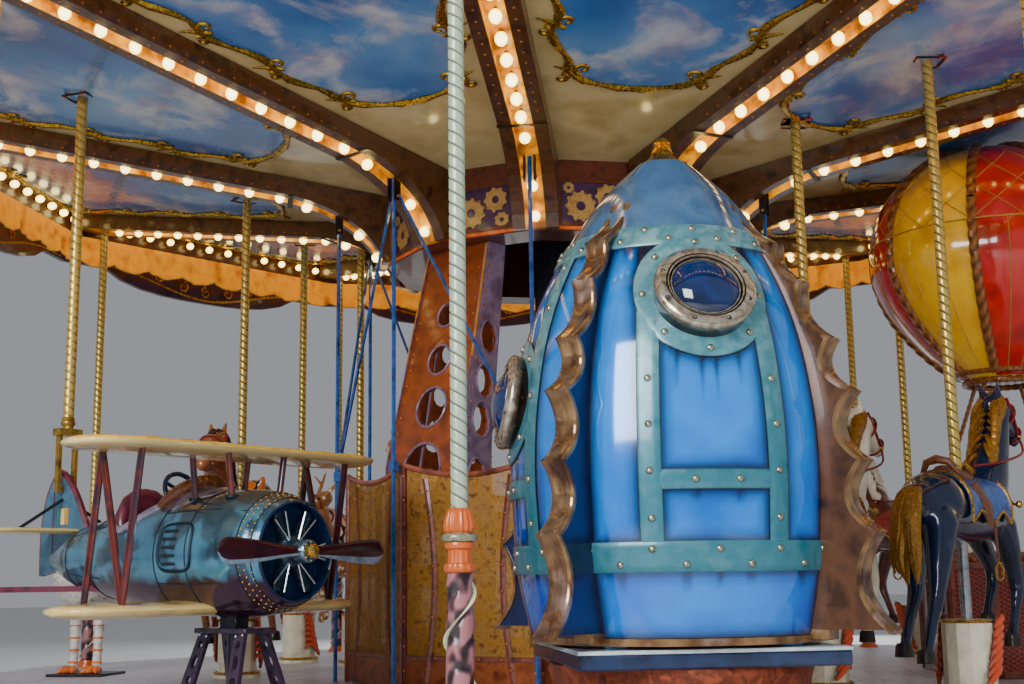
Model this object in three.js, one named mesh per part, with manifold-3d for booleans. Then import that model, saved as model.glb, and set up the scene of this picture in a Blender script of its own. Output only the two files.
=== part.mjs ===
// A fairground carousel of ten sectors: a platform with a lit sloping ceiling that turns about a
// centre mast, carrying a rocket, a biplane, a balloon and riding figures on poles.
// Millimetres, +Z up, origin on the ground under the mast.
import * as THREE from 'three';
import { mergeVertices } from 'three/addons/utils/BufferGeometryUtils.js';
import Module from 'manifold-3d';

const wasm = await Module();
wasm.setup();

// Driving dimensions.
const sectors = 10;
const sector = (2 * Math.PI) / sectors;
const firstBeam = THREE.MathUtils.degToRad(-97.2);
const gap = 0.3;

const deckTop = 350;
const deckThickness = 110;
const deckRadius = 4450;
const postCircle = 4030;

const bulbApex = 3200;
const bulbRise = 0.159;
const channelDepth = 65;
const beamHeight = 115;
const beamWidth = 280;
const beamEnd = 4390;
const drumRadius = 1150;
const drumBottom = 3045;
const drumTop = 3600;
const ceilingThickness = 22;

const mastRadius = 140;
const pedestalTop = 200;
const cageCircle = 1475;
const jointHeight = 1640;
const screenCircle = 1420;

const birdSpot = { row: 3410, phi: 102 };
const planeFace = { x: -1334, y: -2539, heading: THREE.MathUtils.degToRad(-37.75) };
const tailPole = { along: -1905, forkLow: 1490, forkHigh: 1830 };
const poleRadius = 30;
const standHeight = 385;
const gallop = 150;

const group = new THREE.Group();

// Turns a three.js geometry into a solid, with its faces pointing out.
function solidOf(geometry) {
  const bare = geometry.index ? geometry.toNonIndexed() : geometry.clone();
  bare.deleteAttribute('normal');
  bare.deleteAttribute('uv');
  const merged = mergeVertices(bare, 1e-3);
  const places = merged.getAttribute('position').array;
  const corners = merged.getIndex().array;
  const kept = [];
  for (let i = 0; i < corners.length; i += 3) {
    const [a, b, c] = [corners[i], corners[i + 1], corners[i + 2]];
    if (a !== b && b !== c && a !== c) kept.push(a, b, c);
  }
  let volume = 0;
  const [p, q, r] = [new THREE.Vector3(), new THREE.Vector3(), new THREE.Vector3()];
  for (let i = 0; i < kept.length; i += 3) {
    p.fromArray(places, 3 * kept[i]);
    q.fromArray(places, 3 * kept[i + 1]);
    r.fromArray(places, 3 * kept[i + 2]);
    volume += p.dot(q.cross(r));
  }
  if (volume < 0) kept.reverse();
  const mesh = new wasm.Mesh({
    numProp: 3,
    vertProperties: new Float32Array(places),
    triVerts: new Uint32Array(kept),
  });
  return new wasm.Manifold(mesh);
}

function geometryOf(solid) {
  const mesh = solid.getMesh();
  const geometry = new THREE.BufferGeometry();
  geometry.setAttribute('position', new THREE.BufferAttribute(mesh.vertProperties, 3));
  geometry.setIndex(new THREE.BufferAttribute(mesh.triVerts, 1));
  geometry.computeVertexNormals();
  return geometry;
}

function joined(geometries) {
  return geometries.map(solidOf).reduce((whole, next) => whole.add(next));
}

function addPiece(name, solid, colour, roughness, metalness) {
  const material = new THREE.MeshStandardMaterial({ color: colour, roughness, metalness });
  const piece = new THREE.Mesh(geometryOf(solid), material);
  piece.name = name;
  group.add(piece);
}

// A point at a radius and an azimuth, in plan.
function polar(radius, azimuth) {
  return new THREE.Vector2(radius * Math.cos(azimuth), radius * Math.sin(azimuth));
}

// A regular polygon in plan, corners on the beams' lines unless turned.
function ringOfCorners(radius, sides = sectors, turn = firstBeam) {
  return Array.from({ length: sides }, (_, i) => polar(radius, turn + (2 * Math.PI * i) / sides));
}

// An outline in plan, raised from one height to another, with holes of the same kind.
function slab(outline, low, high, holes = []) {
  const shape = new THREE.Shape(outline);
  holes.forEach((hole) => shape.holes.push(new THREE.Path(hole)));
  const geometry = new THREE.ExtrudeGeometry(shape, { depth: high - low, bevelEnabled: false });
  return geometry.translate(0, 0, low);
}

// An outline of radius and height, given a width across the radius and turned to an azimuth.
function radialWall(outline, width, azimuth, curveSegments = 8) {
  const shape = outline instanceof THREE.Shape ? outline : new THREE.Shape(outline);
  const geometry = new THREE.ExtrudeGeometry(shape, { depth: width, bevelEnabled: false, curveSegments });
  return geometry.translate(0, 0, -width / 2).rotateX(Math.PI / 2).rotateZ(azimuth);
}

// A turned form about a vertical line: pairs of radius and height from bottom to top.
function turned(profile, sides = 24, x = 0, y = 0) {
  const points = profile.map(([radius, height]) => new THREE.Vector2(radius, height));
  return new THREE.LatheGeometry(points, sides).rotateX(Math.PI / 2).translate(x, y, 0);
}

function box(size, centre, turn = 0) {
  return new THREE.BoxGeometry(...size).rotateZ(turn).translate(...centre);
}

// A round bar from one point to another.
function bar(from, to, radius, sides = 6) {
  const start = new THREE.Vector3(...from);
  const along = new THREE.Vector3(...to).sub(start);
  const geometry = new THREE.CylinderGeometry(radius, radius, along.length(), sides);
  geometry.translate(0, along.length() / 2, 0);
  const turn = new THREE.Quaternion().setFromUnitVectors(new THREE.Vector3(0, 1, 0), along.normalize());
  return geometry.applyQuaternion(turn).translate(...from);
}

// A limb: a closed tube through points that each give x, y, z and a radius, its ends pointed.
function limb(points, sides = 5) {
  const centres = points.map(([x, y, z]) => new THREE.Vector3(x, y, z));
  const across = new THREE.Vector3(0, 1, 0);
  const last = points.length - 1;
  const direction = (i) => {
    const next = centres[Math.min(i + 1, last)].clone();
    return next.sub(centres[Math.max(i - 1, 0)]).normalize();
  };
  const rings = centres.map((centre, i) => {
    const up = direction(i).cross(across).normalize();
    const side = up.clone().cross(direction(i));
    return Array.from({ length: sides }, (_, k) => {
      const angle = (2 * Math.PI * k) / sides;
      const reach = up.clone().multiplyScalar(Math.cos(angle)).addScaledVector(side, Math.sin(angle));
      return centre.clone().addScaledVector(reach, points[i][3]);
    });
  });
  const tip = (i, sign) => centres[i].clone().addScaledVector(direction(i), sign * 0.8 * points[i][3]);
  const [start, end] = [tip(0, -1), tip(last, 1)];
  const corners = [];
  for (let k = 0; k < sides; k += 1) {
    const next = (k + 1) % sides;
    corners.push(start, rings[0][next], rings[0][k], end, rings[last][k], rings[last][next]);
    for (let i = 0; i < last; i += 1) {
      const [a, b, c, d] = [rings[i][k], rings[i][next], rings[i + 1][next], rings[i + 1][k]];
      corners.push(a, b, c, a, c, d);
    }
  }
  return new THREE.BufferGeometry().setFromPoints(corners);
}

// Places a figure's own frame, forward along X and left along Y, on the platform.
function stand(geometry, radius, phi, turn = 0) {
  const spot = polar(radius, -Math.PI / 2 - THREE.MathUtils.degToRad(phi));
  const heading = -THREE.MathUtils.degToRad(phi) + turn;
  return geometry.rotateZ(heading).translate(spot.x, spot.y, 0);
}

const beamLine = (i) => firstBeam - sector * i;
const bulbLine = (radius) => bulbApex + bulbRise * radius;

// Ground frame: ten sleepers from a round pedestal.
{
  const parts = [turned([[0, 0], [460, 0], [460, pedestalTop], [0, pedestalTop]])];
  for (let i = 0; i < sectors; i += 1) {
    const azimuth = beamLine(i);
    const middle = polar(2250, azimuth);
    parts.push(box([3700, 120, 120], [middle.x, middle.y, 60], azimuth));
  }
  addPiece('ground_frame', joined(parts), 0x3a3d42, 0.7, 0.6);
}

// Centre mast, with the bearing cap that the roof hub turns on.
{
  const mastTop = 3900;
  const foot = pedestalTop + gap;
  const profile = [[0, foot], [mastRadius, foot], [mastRadius, mastTop], [0, mastTop]];
  addPiece('centre_mast', solidOf(turned(profile)), 0x2b3038, 0.5, 0.8);
}

// Deck frame under the boards: a hub that turns on the pedestal, and ten joists.
const deckBottom = deckTop - deckThickness;
{
  const hubLow = pedestalTop + gap;
  const [hubHigh, bore, hubRadius] = [deckBottom - gap, mastRadius + 6, 510];
  const hub = [[bore, hubLow], [hubRadius, hubLow], [hubRadius, hubHigh], [bore, hubHigh]];
  const parts = [turned([...hub, hub[0]], 16)];
  for (let i = 0; i < sectors; i += 1) {
    const azimuth = beamLine(i) + sector / 2;
    const middle = polar(2355, azimuth);
    parts.push(box([3760, 90, 75], [middle.x, middle.y, deckBottom - gap - 37.5], azimuth));
  }
  addPiece('deck_frame', joined(parts), 0x4a4d50, 0.6, 0.6);
}

// Deck.
{
  const well = ringOfCorners(mastRadius + 20, 24);
  const boards = slab(ringOfCorners(deckRadius), deckBottom, deckTop, [well]);
  addPiece('deck', solidOf(boards), 0xb9bcc0, 0.6, 0.1);
}

// Outer posts, under the beams: a carved sleeve, a turned collar and a rope-turned pole.
const beamSoffit = (radius) => bulbLine(radius) - 5;
{
  const top = beamSoffit(postCircle - 32) - gap;
  const profile = [
    [0, deckTop + gap], [78, deckTop + gap], [78, 372], [56, 400], [51, 1000], [60, 1014], [44, 1034],
    [44, 1082], [66, 1110], [66, 1138], [56, 1188], [46, 1222], [32, 1232], [32, top], [0, top],
  ];
  for (let i = 0; i < sectors; i += 1) {
    const spot = polar(postCircle, beamLine(i));
    addPiece(`post_${i + 1}`, solidOf(turned(profile, 9, spot.x, spot.y)), 0xb08a3c, 0.35, 0.8);
  }
}

// Ceiling beams: a lit channel along the underside, and a curved bracket down to the drum.
const bracketStart = 1850;
const bracket = new THREE.CubicBezierCurve(
  new THREE.Vector2(bracketStart, beamSoffit(bracketStart)), new THREE.Vector2(1560, 3440),
  new THREE.Vector2(1260, 3290), new THREE.Vector2(1190, drumBottom),
);
{
  const inner = drumRadius + gap;
  const channelEnd = 3900;
  const steps = 9;
  const along = Array.from({ length: steps + 1 }, (_, i) => i / steps);
  const profile = new THREE.Shape([
    new THREE.Vector2(inner, beamSoffit(inner) + beamHeight - gap),
    new THREE.Vector2(beamEnd, beamSoffit(beamEnd) + beamHeight - gap),
    new THREE.Vector2(beamEnd, beamSoffit(beamEnd)),
    ...along.map((t) => bracket.getPoint(t)),
    new THREE.Vector2(inner, drumBottom),
  ]);
  const offset = (distance, t) => {
    const tangent = bracket.getTangent(t);
    const point = bracket.getPoint(t);
    return new THREE.Vector2(point.x + tangent.y * distance, point.y - tangent.x * distance);
  };
  const channelRun = along.filter((t) => t < 0.95);
  const channel = new THREE.Shape([
    new THREE.Vector2(channelEnd, beamSoffit(channelEnd) + channelDepth),
    new THREE.Vector2(channelEnd, beamSoffit(channelEnd) - 30),
    ...channelRun.map((t) => offset(-30, t)),
    ...channelRun.map((t) => offset(channelDepth * (1 - 0.65 * t), t)).reverse(),
  ]);
  for (let i = 0; i < sectors; i += 1) {
    const body = solidOf(radialWall(profile, beamWidth, beamLine(i)));
    const cutter = solidOf(radialWall(channel, 120, beamLine(i)));
    addPiece(`beam_${i + 1}`, body.subtract(cutter), 0x3b2416, 0.5, 0.1);
  }
}

// A ten-sided cone between two corner radii, as a closed shell of even height.
function pyramid(lowRadius, lowHeight, highRadius, highHeight, thickness) {
  const positions = [];
  const rings = [
    [lowRadius, lowHeight], [highRadius, highHeight],
    [highRadius, highHeight + thickness], [lowRadius, lowHeight + thickness],
  ];
  const corner = ([radius, height], i) => {
    const spot = polar(radius, firstBeam + sector * i);
    return [spot.x, spot.y, height];
  };
  for (let i = 0; i < sectors; i += 1) {
    for (let k = 0; k < 4; k += 1) {
      const [a, b] = [rings[k], rings[(k + 1) % 4]];
      const next = (i + 1) % sectors;
      const [p, q, r, s] = [corner(a, i), corner(b, i), corner(b, next), corner(a, next)];
      positions.push(...p, ...q, ...r, ...p, ...r, ...s);
    }
  }
  const geometry = new THREE.BufferGeometry();
  geometry.setAttribute('position', new THREE.Float32BufferAttribute(positions, 3));
  return geometry;
}

// Every pole that passes the ceiling: its row, its sector angle and whether it gallops.
const poles = [
  { name: 'horse_outer', row: 2780, phi: -46.8, gallops: true },
  { name: 'horse_inner', row: 1930, phi: -46.8, gallops: true },
  { name: 'horse_far', row: 2200, phi: 97.2, gallops: true },
  { name: 'tiger', row: 2780, phi: 133.2, gallops: true },
  { name: 'deer', row: 2050, phi: 133.2, gallops: true },
  { name: 'horse_back', row: 3180, phi: -118.8, gallops: true },
  { name: 'giraffe', row: 2780, phi: 169.2, gallops: false },
];
const poleSpot = ({ row, phi }) => polar(row, -Math.PI / 2 - THREE.MathUtils.degToRad(phi));

// Ceiling, with a square cut-out on the diamond for each pole.
const ceilingFoot = (radius) => bulbLine(radius) + beamHeight - 5;
{
  const inner = drumRadius + gap + 0.2;
  const shell = pyramid(inner, ceilingFoot(inner), beamEnd, ceilingFoot(beamEnd), ceilingThickness);
  let ceiling = solidOf(shell);
  const tail = new THREE.Vector2(tailPole.along, 0).rotateAround(new THREE.Vector2(), planeFace.heading);
  const passages = poles.map(poleSpot);
  passages.push(new THREE.Vector2(planeFace.x + tail.x, planeFace.y + tail.y));
  passages.forEach((spot) => {
    const turn = Math.atan2(spot.y, spot.x) + Math.PI / 4;
    ceiling = ceiling.subtract(solidOf(box([150, 150, 400], [spot.x, spot.y, 3700], turn)));
  });
  addPiece('ceiling', ceiling, 0xd9d2bd, 0.35, 0.0);
}

// Drum with its panels, round the top of the tower.
{
  const wall = 40;
  const flange = 260;
  const body = [
    slab(ringOfCorners(drumRadius), drumBottom, drumTop, [ringOfCorners(drumRadius - wall)]),
    slab(ringOfCorners(drumRadius - 1), drumBottom, drumBottom + 30, [ringOfCorners(drumRadius - flange)]),
  ];
  addPiece('drum', joined(body), 0x7a4a22, 0.5, 0.2);
}

// Lofts a closed solid through level rectangles [z, inner, outer, half width], which lie along X.
function loft(levels) {
  const corners = [];
  const faces = [];
  levels.forEach(([z, inner, outer, half]) => {
    corners.push(inner, -half, z, outer, -half, z, outer, half, z, inner, half, z);
  });
  for (let level = 0; level < levels.length - 1; level += 1) {
    for (let k = 0; k < 4; k += 1) {
      const [a, b] = [4 * level + k, 4 * level + ((k + 1) % 4)];
      faces.push(a, b, b + 4, a, b + 4, a + 4);
    }
  }
  const top = 4 * (levels.length - 1);
  faces.push(0, 2, 1, 0, 3, 2, top, top + 1, top + 2, top, top + 2, top + 3);
  const geometry = new THREE.BufferGeometry();
  geometry.setAttribute('position', new THREE.Float32BufferAttribute(corners, 3));
  geometry.setIndex(faces);
  return geometry;
}

// Tower: four legs, upright and then leaning in, with round holes in front and oval ones at the sides.
const legTop = drumBottom - gap;
{
  const plate = 24;
  const bend = 1660;
  const [foot, head] = [{ outer: 1275, inner: 1015, half: 320 }, { outer: 950, inner: 790, half: 262 }];
  const sole = slab(ringOfCorners(1312, 20), deckTop + gap, deckTop + 26, [ringOfCorners(930, 20)]);
  let tower = solidOf(sole);
  const outside = loft([
    [deckTop + gap, foot.inner, foot.outer, foot.half],
    [bend, foot.inner, foot.outer, foot.half],
    [legTop, head.inner, head.outer, head.half],
  ]);
  const inside = loft([
    [deckTop - 10, foot.inner - 2 * plate, foot.outer - plate, foot.half - plate],
    [bend, foot.inner - 2 * plate, foot.outer - plate, foot.half - plate],
    [legTop - plate, head.inner - 2 * plate, head.outer - plate, head.half - plate],
  ]);
  const faceAt = (z, side) => {
    const share = Math.max(0, (z - bend) / (legTop - bend));
    return foot[side] + (head[side] - foot[side]) * share;
  };
  const rounds = [[800, 150], [1220, 155], [1630, 150], [2010, 118], [2310, 88], [2600, 70]];
  const ovals = [820, 1200, 1575, 1910, 2150, 2430];
  let leg = solidOf(outside).subtract(solidOf(inside));
  rounds.forEach(([height, radius]) => {
    const round = new THREE.CylinderGeometry(radius, radius, 200, 12);
    round.rotateZ(Math.PI / 2).translate(faceAt(height, 'outer'), 0, height);
    leg = leg.subtract(solidOf(round));
  });
  ovals.forEach((height) => {
    const oval = new THREE.CylinderGeometry(1, 1, 2 * foot.half + 60, 8);
    const centre = (faceAt(height, 'inner') + faceAt(height, 'outer') - plate) / 2;
    oval.scale(66, 1, 100).translate(centre, 0, height);
    leg = leg.subtract(solidOf(oval));
  });
  for (let i = 0; i < 4; i += 1) {
    const azimuth = THREE.MathUtils.degToRad(-132 + 90 * i);
    tower = tower.add(solidOf(geometryOf(leg).rotateZ(azimuth)));
  }
  addPiece('tower', tower, 0x8a4a22, 0.55, 0.6);
}

// Stay rods: an upright under each beam's bracket; from every other one a brace runs down to both sides.
{
  const parts = [];
  const rodTop = bracket.getPoints(200).find((point) => point.x <= cageCircle + 13).y + channelDepth / 2;
  const braceTop = rodTop - 50;
  for (let i = 0; i < sectors; i += 1) {
    const here = polar(cageCircle, beamLine(i));
    parts.push(bar([here.x, here.y, deckTop + gap], [here.x, here.y, rodTop], 13, 5));
    parts.push(box([44, 44, 60], [here.x, here.y, jointHeight], beamLine(i)));
    const apex = i % 2 === 1;
    const next = polar(cageCircle, beamLine(i + 1));
    const [high, low] = apex ? [here, next] : [next, here];
    parts.push(bar([high.x, high.y, braceTop], [low.x, low.y, jointHeight], 10, 4));
  }
  addPiece('stay_rods', joined(parts), 0x1d4f96, 0.35, 0.8);
}

// Mesh screens between the rods: a flat leaf in each bay, its top rail dipping in the middle.
{
  const [low, high, dip, leafThickness] = [deckTop + gap, 1660, 1580, 20];
  const side = 2 * screenCircle * Math.sin(sector / 2);
  const inside = ringOfCorners(screenCircle - leafThickness);
  let screens = solidOf(slab(ringOfCorners(screenCircle), low, high, [inside]));
  for (let i = 0; i < sectors; i += 1) {
    const shape = new THREE.Shape();
    shape.moveTo(-side / 2 + 22, high + 20);
    shape.lineTo(-side / 2 + 22, high);
    shape.quadraticCurveTo(0, 2 * dip - high, side / 2 - 22, high);
    shape.lineTo(side / 2 - 22, high + 20);
    const cutter = new THREE.ExtrudeGeometry(shape, { depth: 80, bevelEnabled: false, curveSegments: 5 });
    cutter.translate(0, 0, -40).rotateX(Math.PI / 2).rotateZ(-Math.PI / 2);
    cutter.translate(screenCircle * Math.cos(sector / 2), 0, 0).rotateZ(beamLine(i) + sector / 2);
    screens = screens.subtract(solidOf(cutter));
  }
  addPiece('centre_screen', screens, 0xa8611f, 0.6, 0.4);
}

// Rim rail: a bar that runs round under the beams, and boards between them up to the ceiling.
const railOuter = 4330;
const railWidth = 30;
const railTop = beamSoffit(railOuter - railWidth - (beamWidth / 2) * Math.tan(sector / 2)) - gap;
{
  const soffit = railTop;
  const inside = ringOfCorners(railOuter - railWidth);
  const parts = [slab(ringOfCorners(railOuter), soffit - 32, soffit, [inside])];
  const apothem = (railOuter - railWidth / 2) * Math.cos(sector / 2);
  const length = 2 * (railOuter - railWidth) * Math.sin(sector / 2) - beamWidth / Math.cos(sector / 2) - 24;
  for (let i = 0; i < sectors; i += 1) {
    const spot = polar(apothem, beamLine(i) + sector / 2);
    const top = ceilingFoot(railOuter - railWidth - 20);
    const height = top - soffit + 10;
    const centre = [spot.x, spot.y, soffit - 10 + height / 2];
    parts.push(box([24, length, height], centre, beamLine(i) + sector / 2));
  }
  addPiece('rim_rail', joined(parts), 0x5a3418, 0.5, 0.1);
}

// Valance: a scalloped strip hung under the rim rail.
{
  const valanceTop = railTop - 32 - gap;
  const valanceBottom = 3600;
  const scallops = 8;
  const radius = railOuter - 6;
  const ring = slab(ringOfCorners(radius), valanceBottom, valanceTop, [ringOfCorners(radius - 12)]);
  let valance = solidOf(ring);
  const side = 2 * radius * Math.sin(sector / 2);
  const pitch = side / scallops;
  const depth = 45;
  const cutters = [];
  for (let i = 0; i < sectors; i += 1) {
    const shape = new THREE.Shape();
    shape.moveTo(-side / 2, valanceBottom - 20);
    shape.lineTo(-side / 2, valanceBottom + depth);
    for (let k = 0; k < scallops; k += 1) {
      const left = -side / 2 + pitch * k;
      shape.quadraticCurveTo(left + pitch / 2, valanceBottom - depth, left + pitch, valanceBottom + depth);
    }
    shape.lineTo(side / 2, valanceBottom - 20);
    const cutter = new THREE.ExtrudeGeometry(shape, { depth: 60, bevelEnabled: false, curveSegments: 2 });
    cutter.translate(0, 0, -30).rotateX(Math.PI / 2).rotateZ(-Math.PI / 2);
    cutter.translate((radius - 6) * Math.cos(sector / 2), 0, 0).rotateZ(beamLine(i) + sector / 2);
    cutters.push(cutter);
  }
  cutters.forEach((cutter) => { valance = valance.subtract(solidOf(cutter)); });
  addPiece('valance', valance, 0xe8901c, 0.7, 0.0);
}

// Rounding boards outside, their lower edge dipping in the middle of each bay.
const boardInner = beamEnd + (beamWidth / 2) * Math.tan(sector / 2) + 1;
const boardOuter = boardInner + 45;
const boardTop = 4380;
{
  const low = 3470;
  const end = 3640;
  const ring = slab(ringOfCorners(boardOuter), low, boardTop, [ringOfCorners(boardInner)]);
  let boards = solidOf(ring);
  const side = 2 * boardOuter * Math.sin(sector / 2);
  for (let i = 0; i < sectors; i += 1) {
    const shape = new THREE.Shape();
    shape.moveTo(-side / 2 - 30, low - 20);
    shape.lineTo(-side / 2 - 30, end);
    shape.lineTo(-side * 0.36, end);
    shape.bezierCurveTo(-side * 0.28, low, -side * 0.12, low, 0, low - 1);
    shape.bezierCurveTo(side * 0.12, low, side * 0.28, low, side * 0.36, end);
    shape.lineTo(side / 2 + 30, end);
    shape.lineTo(side / 2 + 30, low - 20);
    const cutter = new THREE.ExtrudeGeometry(shape, { depth: 160, bevelEnabled: false, curveSegments: 5 });
    cutter.translate(0, 0, -80).rotateX(Math.PI / 2).rotateZ(-Math.PI / 2);
    cutter.translate(boardInner * Math.cos(sector / 2), 0, 0).rotateZ(beamLine(i) + sector / 2);
    boards = boards.subtract(solidOf(cutter));
  }
  addPiece('rounding_boards', boards, 0x4a2438, 0.45, 0.2);
}

// Roof: a ten-sided tent on a curb that stands on the ceiling's edge, with a finial on its cap.
const roofEave = 4250;
const roofPeak = 5200;
{
  const curbLow = ceilingFoot(beamEnd) + ceilingThickness + gap;
  const curb = slab(ringOfCorners(beamEnd), curbLow, roofEave + 10, [ringOfCorners(beamEnd - 40)]);
  const tent = pyramid(beamEnd, roofEave, 300, roofPeak, 40);
  const [capLow, capHigh, capRadius] = [roofPeak - 10, roofPeak + 60, 330];
  const cap = turned([[0, capLow], [capRadius, capLow], [capRadius, capHigh], [0, capHigh]], 20);
  const foot = roofPeak + 50;
  const profile = [
    [0, foot], [170, foot], [170, foot + 40], [60, foot + 80], [50, foot + 160], [120, foot + 220],
    [120, foot + 280], [40, foot + 350], [20, foot + 480], [0, foot + 500],
  ];
  addPiece('roof', joined([curb, tent, cap, turned(profile, 16)]), 0xb5452c, 0.7, 0.0);
}

// Rocket: an egg-shaped body with four scalloped fins and two portholes on a plinth.
const rocketSpot = { row: 3000, phi: -7.85 };
const rocketFace = THREE.MathUtils.degToRad(-83);
const rocketProfile = [
  [650, 735], [700, 985], [722, 1260], [728, 1430], [716, 1660], [672, 1930], [600, 2160],
  [500, 2370], [400, 2530], [300, 2670], [190, 2780], [115, 2850], [95, 2862],
  [55, 2900], [34, 2950], [0, 2991],
];
function rocketTurned(profile, sides = 24) {
  const spot = poleSpot(rocketSpot);
  return turned(profile, sides).rotateZ(rocketFace).translate(spot.x, spot.y, 0);
}
const rocketRadius = (height) => {
  for (let i = 1; i < rocketProfile.length; i += 1) {
    const [[r0, z0], [r1, z1]] = [rocketProfile[i - 1], rocketProfile[i]];
    if (height <= z1) return r0 + ((r1 - r0) * (height - z0)) / (z1 - z0);
  }
  return 0;
};
const rocketBody = solidOf(rocketTurned([[0, 735], ...rocketProfile]));
addPiece('rocket_body', rocketBody, 0x1f7fd6, 0.2, 0.1);
const rocketSwell = solidOf(rocketTurned([
  [0, 735 - gap],
  ...rocketProfile.map(([r, z], i) => [r + 0.6, i === 0 ? z - gap : z]).slice(0, -1),
  [0, 2995],
]));
{
  const low = 712;
  const footRing = [[604, low - 8], [640, low - 8], [640, 735 - gap], [604, 735 - gap], [604, low - 8]];
  const fins = [rocketTurned(footRing)];
  const tips = [
    [1000, 755], [966, 1140], [924, 1430], [890, 1715], [810, 1940], [686, 2200], [576, 2385], [370, 2590],
  ];
  const sags = [200, 180, 170, 150, 120, 80, 60];
  const ledge = 18;
  for (let k = 0; k < 4; k += 1) {
    const shape = new THREE.Shape();
    shape.moveTo(606, low);
    shape.lineTo(700, low);
    shape.lineTo(730, tips[0][1]);
    shape.lineTo(tips[0][0], tips[0][1]);
    sags.forEach((sag, i) => {
      const [[r0, z0], [r1, z1]] = [tips[i], tips[i + 1]];
      shape.quadraticCurveTo((r0 + r1) / 2 - sag, z0 + (z1 - z0) * 0.45, r1, z1);
      if (i < 5) shape.lineTo(r1 - ledge, z1 + 12);
    });
    shape.lineTo(250, tips[7][1]);
    shape.lineTo(250, 740);
    shape.lineTo(606, 736);
    const spot = poleSpot(rocketSpot);
    const fin = radialWall(shape, 110, rocketFace + Math.PI / 4 + (Math.PI / 2) * k, 3);
    fins.push(fin.translate(spot.x, spot.y, 0));
  }
  addPiece('rocket_fins', joined(fins).subtract(rocketSwell), 0x9a6a35, 0.4, 0.7);
  const portholes = [{ turn: 0, height: 2115, tilt: 27 }, { turn: -90, height: 1740, tilt: 9 }];
  portholes.forEach(({ turn, height, tilt }, k) => {
    const ring = turned([
      [0, -80], [205, -80], [212, 40], [190, 62], [160, 62], [140, 50], [90, 92], [0, 108],
    ], 20);
    const spot = poleSpot(rocketSpot);
    ring.rotateY(Math.PI / 2 - THREE.MathUtils.degToRad(tilt)).translate(rocketRadius(height), 0, height);
    ring.rotateZ(rocketFace + THREE.MathUtils.degToRad(turn)).translate(spot.x, spot.y, 0);
    addPiece(`rocket_porthole_${k + 1}`, solidOf(ring).subtract(rocketSwell), 0xb08a52, 0.3, 0.8);
  });
  const heading = -THREE.MathUtils.degToRad(rocketSpot.phi);
  const spot = poleSpot(rocketSpot);
  const rock = [[0, deckTop + gap], [600, deckTop + gap], [560, 480], [590, 612], [0, 612]];
  const plinth = [turned(rock, 14, spot.x, spot.y)];
  plinth.push(box([1120, 1180, 80], [spot.x, spot.y, 650], heading));
  [[-370, -370], [370, -370], [-370, 370], [370, 370]].forEach(([x, y]) => {
    const place = new THREE.Vector2(x, y).rotateAround(new THREE.Vector2(), heading);
    plinth.push(box([90, 90, 60], [spot.x + place.x, spot.y + place.y, 735 - gap - 30], heading));
  });
  addPiece('rocket_plinth', joined(plinth), 0x16243c, 0.4, 0.3);
}

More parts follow.
